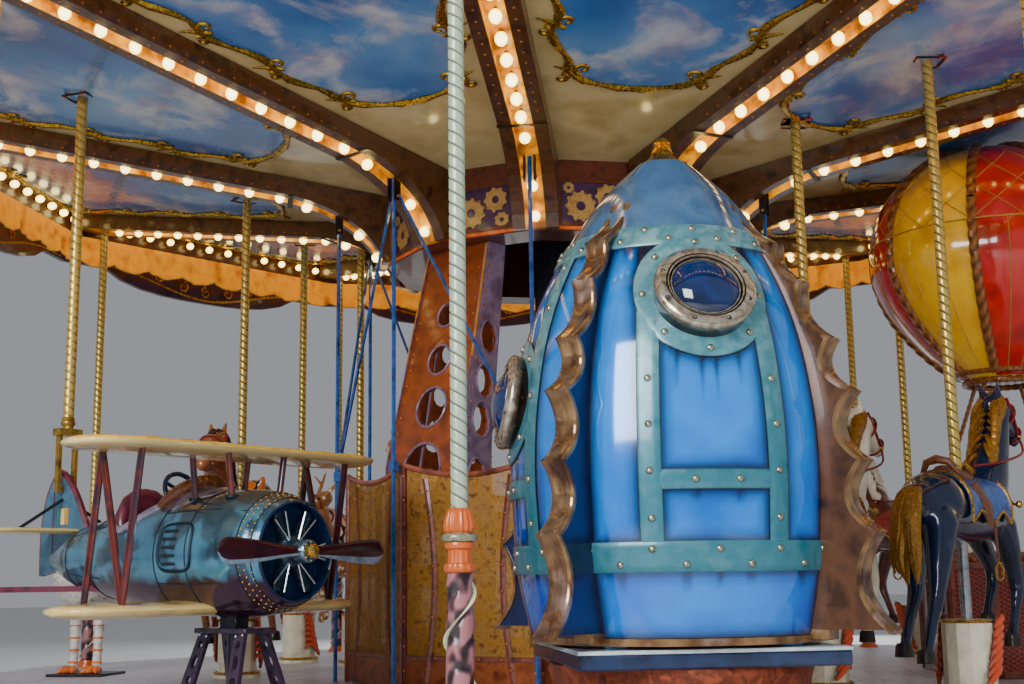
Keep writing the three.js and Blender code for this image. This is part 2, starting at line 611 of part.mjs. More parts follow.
// Biplane: its own frame has the engine face at the origin, forward along X.
const shaftHeight = 1116;
const tailplaneHeight = 1270;
const finHalf = 20;
const planeStand = (geometry) => geometry.rotateZ(planeFace.heading).translate(planeFace.x, planeFace.y, 0);
{
  const profile = [
    [0, -1940], [60, -1940], [165, -1650], [235, -1250], [285, -900], [308, -500], [305, -250],
    [262, -60], [240, -10], [0, -10],
  ];
  const hull = () => turned(profile, 20).rotateY(Math.PI / 2).translate(0, 0, shaftHeight);
  const fin = new THREE.Shape();
  fin.moveTo(-1600, shaftHeight);
  fin.lineTo(-2090, shaftHeight - 90);
  fin.quadraticCurveTo(-2130, shaftHeight + 380, -1944, shaftHeight + 490);
  fin.quadraticCurveTo(-1790, shaftHeight + 430, -1600, shaftHeight);
  const finShape = { depth: 2 * finHalf, bevelEnabled: false, curveSegments: 5 };
  const finBody = new THREE.ExtrudeGeometry(fin, finShape);
  finBody.translate(0, 0, -finHalf).rotateX(Math.PI / 2);
  const tailplane = box([280, 1060, 40], [-1870, 0, tailplaneHeight]);
  const lowerTail = new THREE.Shape([
    new THREE.Vector2(-1340, -120), new THREE.Vector2(-1950, -420), new THREE.Vector2(-2010, -360),
    new THREE.Vector2(-2010, 360), new THREE.Vector2(-1950, 420), new THREE.Vector2(-1340, 120),
  ]);
  const lowerBody = new THREE.ExtrudeGeometry(lowerTail, { depth: 30, bevelEnabled: false });
  lowerBody.translate(0, 0, 940);
  const stays = [-1, 1].map((side) => bar(
    [-1900, side * 16, 1450], [-1870, side * 320, tailplaneHeight], 9, 5,
  ));
  const cockpit = box([430, 330, 400], [-1000, 0, shaftHeight + 180]);
  let body = joined([hull(), finBody, tailplane, lowerBody, ...stays]).subtract(solidOf(cockpit));
  body = solidOf(planeStand(geometryOf(body)));
  addPiece('biplane_body', body, 0x5f7f96, 0.3, 0.8);

  const wing = (span, chord, x, height, thick) => {
    const shape = new THREE.Shape();
    const half = span / 2;
    const round = chord / 2;
    shape.moveTo(x, -half + round);
    shape.lineTo(x, half - round);
    shape.absarc(x - round, half - round, round, 0, Math.PI, false);
    shape.lineTo(x - chord, -half + round);
    shape.absarc(x - round, -half + round, round, Math.PI, 2 * Math.PI, false);
    const options = { depth: thick, bevelEnabled: false, curveSegments: 6 };
    const geometry = new THREE.ExtrudeGeometry(shape, options);
    return geometry.translate(0, 0, height);
  };
  const [lowWing, highWing] = [815, 1580];
  const cell = [wing(1850, 540, -235, highWing, 75), wing(1815, 460, -391, lowWing, 80)];
  const [lowMid, highMid] = [lowWing + 40, highWing + 30];
  [-652, 652].forEach((y) => {
    cell.push(bar([-743, y, lowMid], [-640, y, highMid], 20));
    cell.push(bar([-640, y, highMid], [-452, y, lowMid], 18));
    cell.push(bar([-452, y, lowMid], [-338, y, highMid], 20));
  });
  [-180, 180].forEach((y) => {
    cell.push(bar([-300, y * 0.85, shaftHeight + 200], [-300, y, highMid], 18));
    cell.push(bar([-570, y * 0.85, shaftHeight + 200], [-570, y, highMid], 18));
  });
  const clearance = [
    [0, -1945], ...profile.slice(1, -1).map(([radius, along]) => [radius + 1, along]), [241, 0], [0, 0],
  ];
  const hollow = turned(clearance, 20).rotateY(Math.PI / 2).translate(0, 0, shaftHeight);
  const wings = joined(cell).subtract(solidOf(hollow));
  addPiece('biplane_wings', solidOf(planeStand(geometryOf(wings))), 0xe6c877, 0.35, 0.1);

  const [trestleX, trestleTop] = [-440, 745];
  const trestle = [box([380, 190, 26], [trestleX, 0, trestleTop])];
  [-1, 1].forEach((end) => {
    [-1, 1].forEach((side) => {
      const foot = [trestleX + end * 180, side * 175];
      const knee = [trestleX + end * 130, side * 65, trestleTop + 5];
      trestle.push(bar(knee, [foot[0], foot[1], deckTop + gap + 26], 30));
      trestle.push(box([130, 110, 22], [foot[0], foot[1], deckTop + gap + 11]));
    });
  });
  trestle.push(box([120, 84, 80], [trestleX, 0, trestleTop + 45]));
  const legs = joined(trestle).subtract(solidOf(hollow));
  addPiece('biplane_trestle', solidOf(planeStand(geometryOf(legs))), 0x3a2438, 0.45, 0.5);

  const hub = turned([[0, -10 + gap], [42, -10 + gap], [56, 30], [56, 84], [34, 120], [0, 132]], 16);
  hub.rotateY(Math.PI / 2).translate(0, 0, shaftHeight);
  const blade = new THREE.Shape();
  blade.moveTo(0, -24);
  blade.bezierCurveTo(150, -30, 290, -72, 465, -64);
  blade.quadraticCurveTo(530, -40, 530, 4);
  blade.quadraticCurveTo(522, 48, 455, 56);
  blade.bezierCurveTo(290, 60, 150, 24, 0, 24);
  const bladeBody = () => {
    const geometry = new THREE.ExtrudeGeometry(blade, { depth: 26, bevelEnabled: false, curveSegments: 5 });
    return geometry.translate(0, 0, -13).rotateY(Math.PI / 2).rotateX(Math.PI / 2);
  };
  const right = bladeBody().translate(58, 0, shaftHeight);
  const left = bladeBody().rotateX(Math.PI).translate(58, 0, shaftHeight);
  const propeller = joined([hub, left, right]);
  addPiece('propeller', solidOf(planeStand(geometryOf(propeller))), 0x6b1f16, 0.3, 0.2);
}

// Tail pole: it hangs from the ceiling and its fork straddles the biplane's tail fin.
{
  const poleTop = ceilingFoot(3180) + 100 + gallop;
  const parts = [bar([tailPole.along, 0, tailPole.forkHigh], [tailPole.along, 0, poleTop], poleRadius, 12)];
  parts.push(box([70, 150, 40], [tailPole.along, 0, tailPole.forkHigh]));
  [-52, 52].forEach((y) => {
    const height = tailPole.forkHigh - tailPole.forkLow;
    parts.push(box([34, 20, height], [tailPole.along, y, tailPole.forkLow + height / 2]));
    const pad = Math.abs(y) - finHalf - gap;
    const padCentre = Math.sign(y) * (finHalf + gap + pad / 2);
    parts.push(box([34, pad, 40], [tailPole.along, padCentre, tailPole.forkLow + 20]));
  });
  addPiece('tail_pole', solidOf(planeStand(geometryOf(joined(parts)))), 0xb08a3c, 0.35, 0.8);
}

// Balloon: envelope, ropes and basket.
const balloonSpot = { row: 2900, phi: -82.8 };
{
  const spot = poleSpot(balloonSpot);
  const mouth = 2200;
  const envelope = [
    [0, mouth], [250, mouth], [300, 2240], [480, 2400], [660, 2620], [765, 2840], [790, 3010], [765, 3200],
    [680, 3400], [540, 3560], [330, 3680], [90, 3728], [0, 3730],
  ];
  addPiece('balloon_envelope', solidOf(turned(envelope, 32, spot.x, spot.y)), 0xb3231b, 0.3, 0.1);
  const rim = 1060;
  const half = 520;
  const wall = 60;
  const turn = -THREE.MathUtils.degToRad(balloonSpot.phi);
  const [foot, floor] = [deckTop + gap, deckTop + 70];
  const outside = box([2 * half, 2 * half, rim - foot], [spot.x, spot.y, (rim + foot) / 2], turn);
  const room = box([2 * (half - wall), 2 * (half - wall), 700], [spot.x, spot.y, floor + 350], turn);
  const basket = solidOf(outside).subtract(solidOf(room));
  const doorway = new THREE.Vector2(0, -half).rotateAround(new THREE.Vector2(), turn);
  const door = box([420, 200, 700], [spot.x + doorway.x, spot.y + doorway.y, floor + 350], turn);
  addPiece('balloon_basket', basket.subtract(solidOf(door)), 0x7a2a1c, 0.7, 0.0);
  const ropes = [slab(ringOfCorners(235, 16), mouth - 40, mouth - gap).translate(spot.x, spot.y, 0)];
  [[-1, -1], [-1, 1], [1, -1], [1, 1]].forEach(([x, y]) => {
    const corner = new THREE.Vector2(x * (half - 32), y * (half - 32));
    const onRim = corner.rotateAround(new THREE.Vector2(), turn);
    const onMouth = new THREE.Vector2(x * 140, y * 140).rotateAround(new THREE.Vector2(), turn);
    const a = [spot.x + onRim.x, spot.y + onRim.y, rim + gap + 20];
    const b = [spot.x + onMouth.x, spot.y + onMouth.y, mouth - 20];
    ropes.push(bar(a, b, 14));
    ropes.push(box([50, 50, 40], [a[0], a[1], rim + gap + 20], turn));
  });
  addPiece('balloon_ropes', joined(ropes), 0xa9803c, 0.6, 0.1);
}

// Riding figures: a pole with a figure on it, and a cylinder that the pole slides in.
const horseLimbs = [
  [[[-440, 0, 1310, 120], [-330, 0, 1310, 172], [20, 0, 1290, 160], [300, 0, 1310, 160],
    [400, 0, 1350, 110]], 8],
  [[[270, 0, 1360, 140], [430, 0, 1600, 105], [560, 0, 1830, 74]], 7],
  [[[500, 0, 1880, 84], [600, 0, 1830, 76], [740, 0, 1730, 48]], 7],
  [[[340, 85, 1210, 74], [540, 85, 980, 40], [440, 85, 740, 30]]],
  [[[320, -85, 1210, 74], [450, -85, 900, 40], [350, -85, 640, 30]]],
  [[[-400, 90, 1210, 84], [-360, 90, 900, 42], [-510, 90, 620, 30]]],
  [[[-420, -90, 1210, 84], [-500, -90, 880, 42], [-640, -90, 600, 30]]],
  [[[-470, 0, 1400, 44], [-600, 0, 1260, 60], [-650, 0, 900, 44]]],
];
const figures = {
  horse_outer: { limbs: horseLimbs, colour: 0x141c2e },
  horse_inner: { limbs: horseLimbs, colour: 0xd8cfc0 },
  horse_far: { limbs: horseLimbs, colour: 0x8c5a34 },
  horse_back: { limbs: horseLimbs, colour: 0x6b2f28 },
  tiger: {
    limbs: [
      [[[-400, 0, 1430, 110], [-280, 0, 1430, 148], [0, 0, 1430, 140], [300, 0, 1470, 158],
        [380, 0, 1500, 120]], 8],
      [[[320, 0, 1530, 112], [440, 0, 1640, 128], [530, 0, 1640, 112], [620, 0, 1600, 72]], 8],
      [[[300, 90, 1400, 74], [430, 90, 1200, 56], [470, 90, 1040, 50]]],
      [[[280, -90, 1400, 74], [380, -90, 1180, 56], [360, -90, 1010, 50]]],
      [[[-320, 90, 1390, 84], [-260, 90, 1180, 56], [-320, 90, 1010, 50]]],
      [[[-340, -90, 1390, 84], [-390, -90, 1180, 56], [-460, -90, 1040, 50]]],
      [[[-400, 0, 1470, 44], [-560, 0, 1500, 38], [-660, 0, 1660, 32]]],
    ],
    colour: 0xc9803a,
  },
  deer: {
    limbs: [
      [[[-350, 0, 1120, 90], [-250, 0, 1120, 124], [0, 0, 1105, 112], [250, 0, 1130, 120],
        [310, 0, 1150, 90]], 8],
      [[[250, 0, 1180, 90], [350, 0, 1380, 66], [390, 0, 1560, 56]], 7],
      [[[340, 0, 1590, 62], [420, 0, 1560, 60], [520, 0, 1490, 36]], 7],
      [[[250, 70, 1080, 54], [420, 70, 920, 34], [380, 70, 740, 26]]],
      [[[230, -70, 1080, 54], [340, -70, 880, 34], [300, -70, 720, 26]]],
      [[[-270, 70, 1080, 62], [-240, 70, 880, 36], [-380, 70, 700, 26]]],
      [[[-280, -70, 1080, 62], [-360, -70, 880, 36], [-460, -70, 720, 26]]],
      [[[360, 30, 1610, 20], [240, 110, 1790, 12]]],
      [[[360, -30, 1610, 20], [240, -110, 1790, 12]]],
    ],
    colour: 0x9a6a3c,
  },
  giraffe: {
    limbs: [
      [[[-330, 0, 1320, 110], [-230, 0, 1330, 154], [0, 0, 1340, 145], [240, 0, 1380, 156],
        [310, 0, 1430, 110]], 8],
      [[[240, 0, 1440, 110], [480, 0, 1850, 78], [760, 0, 2320, 56]], 7],
      [[[720, 0, 2360, 56], [780, 0, 2270, 66], [860, 0, 2090, 38]], 7],
      [[[240, 90, 1290, 64], [280, 90, 940, 40], [300, 90, 590, 32]]],
      [[[220, -90, 1290, 64], [230, -90, 940, 40], [250, -90, 580, 32]]],
      [[[-250, 90, 1270, 66], [-220, 90, 940, 40], [-260, 90, 580, 32]]],
      [[[-270, -90, 1270, 66], [-300, -90, 940, 40], [-350, -90, 590, 32]]],
    ],
    colour: 0xc97a2c,
  },
};
// A pole stand: a closed cylinder with a bore for the pole.
function poleStand(pole) {
  const bore = poleRadius + 0.5;
  const [low, high] = [deckTop + gap, deckTop + standHeight];
  const profile = [
    [0, low], [160, low], [160, low + 20], [132, low + 30], [132, high - 20], [122, high],
    [bore, high], [bore, deckTop + 29], [0, deckTop + 29],
  ];
  return stand(turned(profile, 12), pole.row, pole.phi);
}
poles.forEach((pole) => {
  const { limbs, colour } = figures[pole.name];
  const poleTop = ceilingFoot(pole.row) + 100 + gallop;
  const poleFoot = pole.gallops ? deckTop + 190 : deckTop + 15;
  const spar = turned([[0, poleFoot], [poleRadius, poleFoot], [poleRadius, poleTop], [0, poleTop]], 12);
  const parts = [...limbs.map(([points, sides]) => limb(points, sides)), spar];
  let rider = solidOf(stand(geometryOf(joined(parts)), pole.row, pole.phi));
  if (!pole.gallops) rider = rider.add(solidOf(poleStand(pole)));
  addPiece(pole.name, rider, colour, 0.35, 0.2);
});

// A bird figure that stands on the deck on its own plate.
{
  const parts = [
    box([360, 420, 18], [0, 0, deckTop + gap + 9]),
    limb([[-260, 0, 960, 110], [-150, 0, 970, 190], [140, 0, 1000, 180], [240, 0, 1040, 120]], 8),
    limb([[200, 0, 1060, 100], [280, 0, 1180, 72], [310, 0, 1280, 76]], 7),
    limb([[290, 0, 1290, 64], [400, 0, 1250, 30]], 6),
    limb([[-230, 0, 1020, 90], [-460, 0, 1160, 50]], 6),
  ];
  [-90, 90].forEach((y) => {
    parts.push(limb([[0, y, 880, 52], [10, y, 640, 38], [20, y, 400, 34]], 6));
    parts.push(limb([[0, y, 392, 34], [110, y, 382, 24]]));
  });
  const bird = geometryOf(joined(parts));
  addPiece('bird', solidOf(stand(bird, birdSpot.row, birdSpot.phi)), 0xb9b0a0, 0.4, 0.1);
}

// Stands that share a sector share a foot plate.
const standGroups = {
  horse_stands: ['horse_outer', 'horse_inner'],
  tiger_stand: ['tiger'],
  deer_stand: ['deer'],
  horse_far_stand: ['horse_far'],
  horse_back_stand: ['horse_back'],
};
Object.entries(standGroups).forEach(([name, members]) => {
  const own = poles.filter((pole) => members.includes(pole.name));
  const parts = own.map(poleStand);
  if (own.length > 1) {
    const rows = own.map((pole) => pole.row);
    const middle = (rows[0] + rows[1]) / 2;
    const plate = box([120, Math.abs(rows[0] - rows[1]), 18], [0, 0, deckTop + gap + 9]);
    parts.push(stand(plate, middle, own[0].phi));
  }
  addPiece(name, joined(parts), 0xe0d8bc, 0.4, 0.1);
});

export default group;
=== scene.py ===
from math import asin, atan2, copysign, cos, degrees, exp, hypot, pi, radians, sin, sqrt, tan
import random

import bmesh
import bpy
import numpy as np
from mathutils import Matrix, Vector, noise
from mathutils.geometry import tessellate_polygon


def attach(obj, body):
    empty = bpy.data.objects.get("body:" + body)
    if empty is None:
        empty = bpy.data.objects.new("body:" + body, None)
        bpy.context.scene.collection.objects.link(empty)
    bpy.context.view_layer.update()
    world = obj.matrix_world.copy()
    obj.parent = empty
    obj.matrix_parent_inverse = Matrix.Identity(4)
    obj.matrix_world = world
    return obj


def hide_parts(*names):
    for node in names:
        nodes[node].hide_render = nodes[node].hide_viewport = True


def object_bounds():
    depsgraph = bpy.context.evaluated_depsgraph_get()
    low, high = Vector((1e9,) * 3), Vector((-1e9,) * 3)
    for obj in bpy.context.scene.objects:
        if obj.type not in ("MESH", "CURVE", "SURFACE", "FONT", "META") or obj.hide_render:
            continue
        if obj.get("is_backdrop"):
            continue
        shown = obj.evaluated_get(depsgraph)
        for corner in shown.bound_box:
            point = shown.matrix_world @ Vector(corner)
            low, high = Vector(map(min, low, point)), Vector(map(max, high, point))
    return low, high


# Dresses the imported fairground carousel: finishes, lamps, carving, cloth and riding figures.
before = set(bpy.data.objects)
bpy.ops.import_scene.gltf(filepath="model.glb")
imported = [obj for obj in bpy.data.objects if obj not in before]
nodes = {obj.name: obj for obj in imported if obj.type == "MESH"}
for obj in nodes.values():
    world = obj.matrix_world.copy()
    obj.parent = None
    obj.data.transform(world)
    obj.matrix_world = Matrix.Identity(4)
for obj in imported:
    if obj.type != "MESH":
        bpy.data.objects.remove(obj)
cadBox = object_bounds()
random.seed(7)

plan = {
    "sectors": 10,
    "firstBeam": -97.2,  # azimuth of the beam nearest the camera, degrees
    "deckTop": .35,
    "postCircle": 4.03,
    "bulbApex": 3.2,  # height of the bulb line where it would meet the axis
    "bulbRise": .159,
    "bulbPitch": .2,
    "poleRadius": .03,
    "planeAt": (-37.75, -1.334, -2.539),  # heading of the biplane, where its engine face stands
}
sector = 360 / plan["sectors"]
halfBay = sector / 2
ride = "turntable"


def cosDeg(angle):
    return cos(radians(angle))


def sinDeg(angle):
    return sin(radians(angle))


shift = Matrix.Translation


def points(text):  # a table of points from plain text
    return [tuple(float(number) for number in row.split()) for row in text.split(",")]


def turnedBy(angle, x=0.0, y=0.0, z=0.0):  # a turn about the vertical, then a shift
    return shift((x, y, z)) @ Matrix.Rotation(radians(angle), 4, "Z")


def polar(radius, angle, z=0.0):
    return Vector((radius * cosDeg(angle), radius * sinDeg(angle), z))


def beamAngle(i):
    return plan["firstBeam"] - sector * i


beams = [beamAngle(i) for i in range(plan["sectors"])]
bays = [angle - halfBay for angle in beams]  # the middle of each bay


def bulbLine(radius):
    return plan["bulbApex"] + plan["bulbRise"] * radius


def panelHeight(u):  # underside of the flat ceiling panel, u metres out along the middle of a bay
    return bulbLine(u / cosDeg(halfBay)) + .11


# Materials
def linear(hexColour):  # sRGB hex to linear light
    parts = [int(hexColour[i:i + 2], 16) / 255 for i in (0, 2, 4)]
    return [c / 12.92 if c <= .04045 else ((c + .055) / 1.055) ** 2.4 for c in parts] + [1.0]


def feed(socket, value):  # links what another node gives, or sets a plain value
    if isinstance(value, bpy.types.Node):
        value = next(output for output in value.outputs if output.enabled)
    value = getattr(value, "socket", value)
    if isinstance(value, bpy.types.NodeSocket):
        socket.id_data.links.new(value, socket)
    else:
        socket.default_value = value


def addNode(tree, kind, inputs=None, **settings):
    node = tree.nodes.new(kind)
    for key, value in settings.items():
        setattr(node, key, value)
    for key, value in (inputs or {}).items():
        feed(node.inputs[key], value)
    return node


def reckon(operation):
    return lambda one, other=0.0: Wire(addNode(one.socket.id_data, "ShaderNodeMath", {0: one, 1: other},
                                               operation=operation).outputs[0])


class Wire:  # a socket that can be reckoned with, so that a pattern reads as a formula
    def __init__(self, socket):
        self.socket = socket

    __add__, __sub__, __mul__, __mod__ = map(reckon, ("ADD", "SUBTRACT", "MULTIPLY", "FLOORED_MODULO"))
    __lt__, __gt__, larger, pingPong = map(reckon, ("LESS_THAN", "GREATER_THAN", "MAXIMUM", "PINGPONG"))
    sine, cosine, root, size, arcOver = map(reckon, ("SINE", "COSINE", "SQRT", "ABSOLUTE", "ARCTAN2"))


def setStops(ramp, stops):
    elements = ramp.color_ramp.elements
    while len(elements) < len(stops):
        elements.new(.5)
    for element, (place, colour) in zip(elements, stops):
        element.position = place
        element.color = linear(colour)
    return ramp


def finish(name, tones, grain=60, rough=.4, metal=0, bump=0, fine=4, coat=0, grime=0, glow=0):
    # tones: colours along a soft mottle, grain and fine: sizes of mottle and surface texture in mm
    tones = tones.split()
    material = bpy.data.materials.new(name)
    material.use_nodes = True
    tree = material.node_tree
    shader = tree.nodes["Principled BSDF"]
    local = addNode(tree, "ShaderNodeTexCoord").outputs["Object"]
    mottle = addNode(tree, "ShaderNodeTexNoise", {"Vector": local, "Scale": 1000 / grain, "Detail": 5.0})
    colour = setStops(addNode(tree, "ShaderNodeValToRGB", {"Fac": mottle}), [
        (.32 + .36 * i / max(1, len(tones) - 1), tone) for i, tone in enumerate(tones)])
    if grime:
        dirt = addNode(tree, "ShaderNodeTexNoise",
            {"Vector": local, "Scale": 3.1, "Detail": 8.0, "Roughness": .7})
        shade = addNode(tree, "ShaderNodeMapRange", {
            "Value": dirt, "From Min": .35, "From Max": .75, "To Min": 0.0, "To Max": grime})
        colour = addNode(tree, "ShaderNodeMix", {"Factor": shade, "A": colour, "B": linear("2a1c12")},
            data_type="RGBA")
    feed(shader.inputs["Base Color"], colour)
    feed(shader.inputs["Roughness"], addNode(tree, "ShaderNodeMapRange", {
        "Value": mottle, "To Min": max(.03, rough - .08), "To Max": rough + .1}))
    feed(shader.inputs["Metallic"], metal)
    feed(shader.inputs["Coat Weight"], coat)
    feed(shader.inputs["Coat Roughness"], .06)
    if bump:
        grit = addNode(tree, "ShaderNodeTexNoise", {"Vector": local, "Scale": 1000 / fine, "Detail": 3.0})
        feed(shader.inputs["Normal"], addNode(tree, "ShaderNodeBump", {
            "Height": grit, "Strength": bump, "Distance": .002}))
    # a glow paints lamp light onto a surface that is no lamp
    if glow:
        feed(shader.inputs["Emission Color"], colour)
        feed(shader.inputs["Emission Strength"], glow)
    return material


def parts(material):  # the tree and the shader that a special finish works on
    return material.node_tree, material.node_tree.nodes["Principled BSDF"]


def overlay(material, mask, colour):  # lays a second colour over the first where the mask is 1
    tree, shader = parts(material)
    base = shader.inputs["Base Color"]
    colour = linear(colour) if isinstance(colour, str) else colour
    feed(base, addNode(tree, "ShaderNodeMix", {"Factor": mask, "A": base.links[0].from_socket, "B": colour},
                       data_type="RGBA"))


def axes(tree):
    local = addNode(tree, "ShaderNodeTexCoord").outputs["Object"]
    split = addNode(tree, "ShaderNodeSeparateXYZ", {"Vector": local})
    return local, *[Wire(output) for output in split.outputs]


def reliefOf(tree):  # how proud of its hollows a spot of the carving stands
    return addNode(tree, "ShaderNodeAttribute", attribute_name="relief").outputs["Fac"]


def shadedReliefFinish(name, low, high, rough=.35, metal=0, coat=.3, bump=0):
    # hollows darkened with painted shade, crests bright: reads the relief attribute of the mesh
    material = finish(name, f"{low} {low}", 30, rough, metal, bump, 3, coat)
    overlay(material, reliefOf(material.node_tree), high)
    return material


def repaint(material, *names):  # a CAD node keeps its mesh and gets a finish
    for name in names:
        nodes[name].data.materials.clear()
        nodes[name].data.materials.append(material)


# Mesh building
def place(name, data):
    item = bpy.data.objects.new(name, data)
    bpy.context.scene.collection.objects.link(item)
    return item


def evaluated(holder, name):  # a holder with modifiers turned into a plain mesh
    solid = bpy.data.meshes.new_from_object(holder.evaluated_get(bpy.context.evaluated_depsgraph_get()))
    bpy.data.objects.remove(holder)
    solid.name = name
    return solid


def meshOf(name, verts, faces):
    mesh = bpy.data.meshes.new(name)
    mesh.from_pydata([tuple(v) for v in verts], [], faces)
    return mesh


class Form:  # gathers shapes into one mesh
    def __init__(self, stand=None):
        self.verts, self.faces, self.marks, self.relief, self.stand = [], [], [], [], stand

    def add(self, shape, mark=0, matrix=None, relief=None):
        verts, faces = shape
        start, matrix = len(self.verts), matrix or self.stand
        self.verts.extend((matrix @ Vector(v)) if matrix else Vector(v) for v in verts)
        self.faces.extend(tuple(start + k for k in face) for face in faces)
        self.marks.extend([mark] * len(faces))
        self.relief.extend(relief if relief is not None else [.5] * len(verts))
        return self

    def piece(self, name, materials, slot=None, stands=(), body=ride, smooth=True):
        mesh = meshOf(name, self.verts, self.faces)
        mesh.attributes.new("relief", "FLOAT", "POINT").data.foreach_set("value", self.relief)
        return dress(name, mesh, materials, self.marks, stands, body, smooth)


def dress(name, mesh, materials, marks, stands, body, smooth=True):
    for material in materials:
        mesh.materials.append(material)
    mesh.polygons.foreach_set("material_index", marks)
    mesh.polygons.foreach_set("use_smooth", [bool(smooth)] * len(mesh.polygons))
    if smooth:
        mesh.set_sharp_from_angle(angle=radians(38))
    piece = place(name, mesh)
    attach(piece, body)
    if stands:
        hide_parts(*stands)
    return piece


def ringSteps(count):  # each step of a ring with the next one
    return [(k, (k + 1) % count) for k in range(count)]


def tubeFaces(rows, sides):  # faces of a tube from its rings of points, both ends closed
    faces = [(j * sides + k, j * sides + n, (j + 1) * sides + n, (j + 1) * sides + k)
             for j in range(rows) for k, n in ringSteps(sides)]
    return faces + [tuple(range(sides - 1, -1, -1)), tuple(range(rows * sides, (rows + 1) * sides))]


def circle(radius, count, z=0.0):
    return [polar(radius, 360 * k / count, z) for k in range(count)]


def revolve(profile, sides=24, swell=None):  # radius and height pairs, radius 0 closes a pole
    verts, rings, faces = [], [], []
    for radius, height in profile:
        if radius <= 1e-6:
            rings.append([len(verts)] * sides)
            verts.append((0, 0, height))
            continue
        rings.append(list(range(len(verts), len(verts) + sides)))
        for k in range(sides):
            angle = 2 * pi * k / sides
            r = radius * (swell(angle, height) if swell else 1)
            verts.append((r * cos(angle), r * sin(angle), height))
    for low, high in zip(rings[:-1], rings[1:]):
        for k, n in ringSteps(sides):
            face = [low[k], low[n], high[n], high[k]]
            face = [v for j, v in enumerate(face) if v != face[j - 1]]
            if len(face) > 2:
                faces.append(tuple(face))
    return verts, faces


def sweep(path, radius, sides=8, flat=1.0, closed=False, normal=None):  # a tube along points
    path = [Vector(p) for p in path]
    count = len(path)
    radii = radius if hasattr(radius, "__len__") else [radius] * count
    verts, up = [], None
    for i, point in enumerate(path):
        ahead = path[(i + 1) % count] if closed else path[min(i + 1, count - 1)]
        back = path[i - 1] if closed or i else path[0]
        along = (ahead - back).normalized()
        if normal is not None:
            up = Vector(normal)
        elif up is None:
            up = Vector((0, 0, 1)) if abs(along.z) < .9 else Vector((1, 0, 0))
        side = along.cross(up)
        side = side.normalized() if side.length > 1e-6 else Vector((1, 0, 0))
        up = side.cross(along).normalized()
        for k in range(sides):
            angle = 2 * pi * k / sides
            verts.append(point + side * (radii[i] * cos(angle)) + up * (radii[i] * flat * sin(angle)))
    faces = tubeFaces(count - 1, sides)
    if closed:
        low = (count - 1) * sides
        faces[-2:] = [(low + k, low + n, n, k) for k, n in ringSteps(sides)]
    return verts, faces


def bead(radius, sides=10):  # a small ball for an eye or a stud
    return revolve([(0, -radius), (.8 * radius, -.6 * radius), (radius, 0), (.8 * radius, .6 * radius),
        (0, radius)], sides)


def prism(outline, low, high):  # a plan outline raised from one height to another
    if sum(a[0] * b[1] - b[0] * a[1] for a, b in zip(outline, outline[1:] + outline[:1])) < 0:
        outline = outline[::-1]
    count = len(outline)
    verts = [(x, y, low) for x, y in outline] + [(x, y, high) for x, y in outline]
    faces = [tuple(range(count - 1, -1, -1)), tuple(range(count, 2 * count))]
    faces += [(k, (k + 1) % count, (k + 1) % count + count, k + count) for k in range(count)]
    return verts, faces


def block(size, centre, bevel=.004):  # a box with chamfered edges
    bm = bmesh.new()
    bmesh.ops.create_cube(bm, size=1)
    bmesh.ops.scale(bm, vec=size, verts=bm.verts)
    if bevel:
        bmesh.ops.bevel(bm, geom=bm.edges, offset=bevel, segments=1, affect="EDGES")
    bm.verts.ensure_lookup_table()
    verts = [v.co + Vector(centre) for v in bm.verts]
    faces = [tuple(v.index for v in f.verts) for f in bm.faces]
    bm.free()
    return verts, faces


def smoothLine(spots, count):  # a Catmull-Rom line through spots
    spots = [np.array(p, float) for p in spots]
    spots = [2 * spots[0] - spots[1]] + spots + [2 * spots[-1] - spots[-2]]
    spans = len(spots) - 3
    line = []
    for k in range(count):
        t = min(k * spans / (count - 1), spans - 1e-9)
        i = int(t)
        t -= i
        a, b, c, d = spots[i:i + 4]
        line.append(.5 * ((2 * b) + (c - a) * t + (2 * a - 5 * b + 4 * c - d) * t * t
                           + (3 * b - a - 3 * c + d) * t ** 3))
    return line


# Geometry Nodes: one small turned shape set on every point, along that point's facing
def studTree(name, rings, segments):
    tree = bpy.data.node_groups.new(name, "GeometryNodeTree")
    for title, kind in (("Geometry", "Geometry"), ("Radius", "Float"), ("Height", "Float"),
            ("Finish", "Material")):
        tree.interface.new_socket(title, in_out="INPUT", socket_type="NodeSocket" + kind)
    tree.interface.new_socket("Geometry", in_out="OUTPUT", socket_type="NodeSocketGeometry")
    entry = addNode(tree, "NodeGroupInput").outputs
    ball = addNode(tree, "GeometryNodeMeshUVSphere", {"Segments": segments, "Rings": rings, "Radius": 1.0})
    size = addNode(tree, "ShaderNodeCombineXYZ",
        {"X": entry["Radius"], "Y": entry["Radius"], "Z": entry["Height"]})
    shaped = addNode(tree, "GeometryNodeTransform", {"Geometry": ball, "Scale": size})
    facing = addNode(tree, "GeometryNodeInputNamedAttribute", {"Name": "facing"}, data_type="FLOAT_VECTOR")
    turn = addNode(tree, "FunctionNodeAlignRotationToVector", {"Vector": facing}, axis="Z")
    copies = addNode(tree, "GeometryNodeInstanceOnPoints", {
        "Points": entry["Geometry"], "Instance": shaped, "Rotation": turn})
    real = addNode(tree, "GeometryNodeRealizeInstances", {"Geometry": copies})
    smooth = addNode(tree, "GeometryNodeSetShadeSmooth", {"Geometry": real})
    painted = addNode(tree, "GeometryNodeSetMaterial", {"Geometry": smooth, "Material": entry["Finish"]})
    addNode(tree, "NodeGroupOutput", {"Geometry": painted})
    return tree


rivetTree = studTree("rivetHeads", 4, 7)
bulbTree = studTree("lampBulbs", 7, 10)


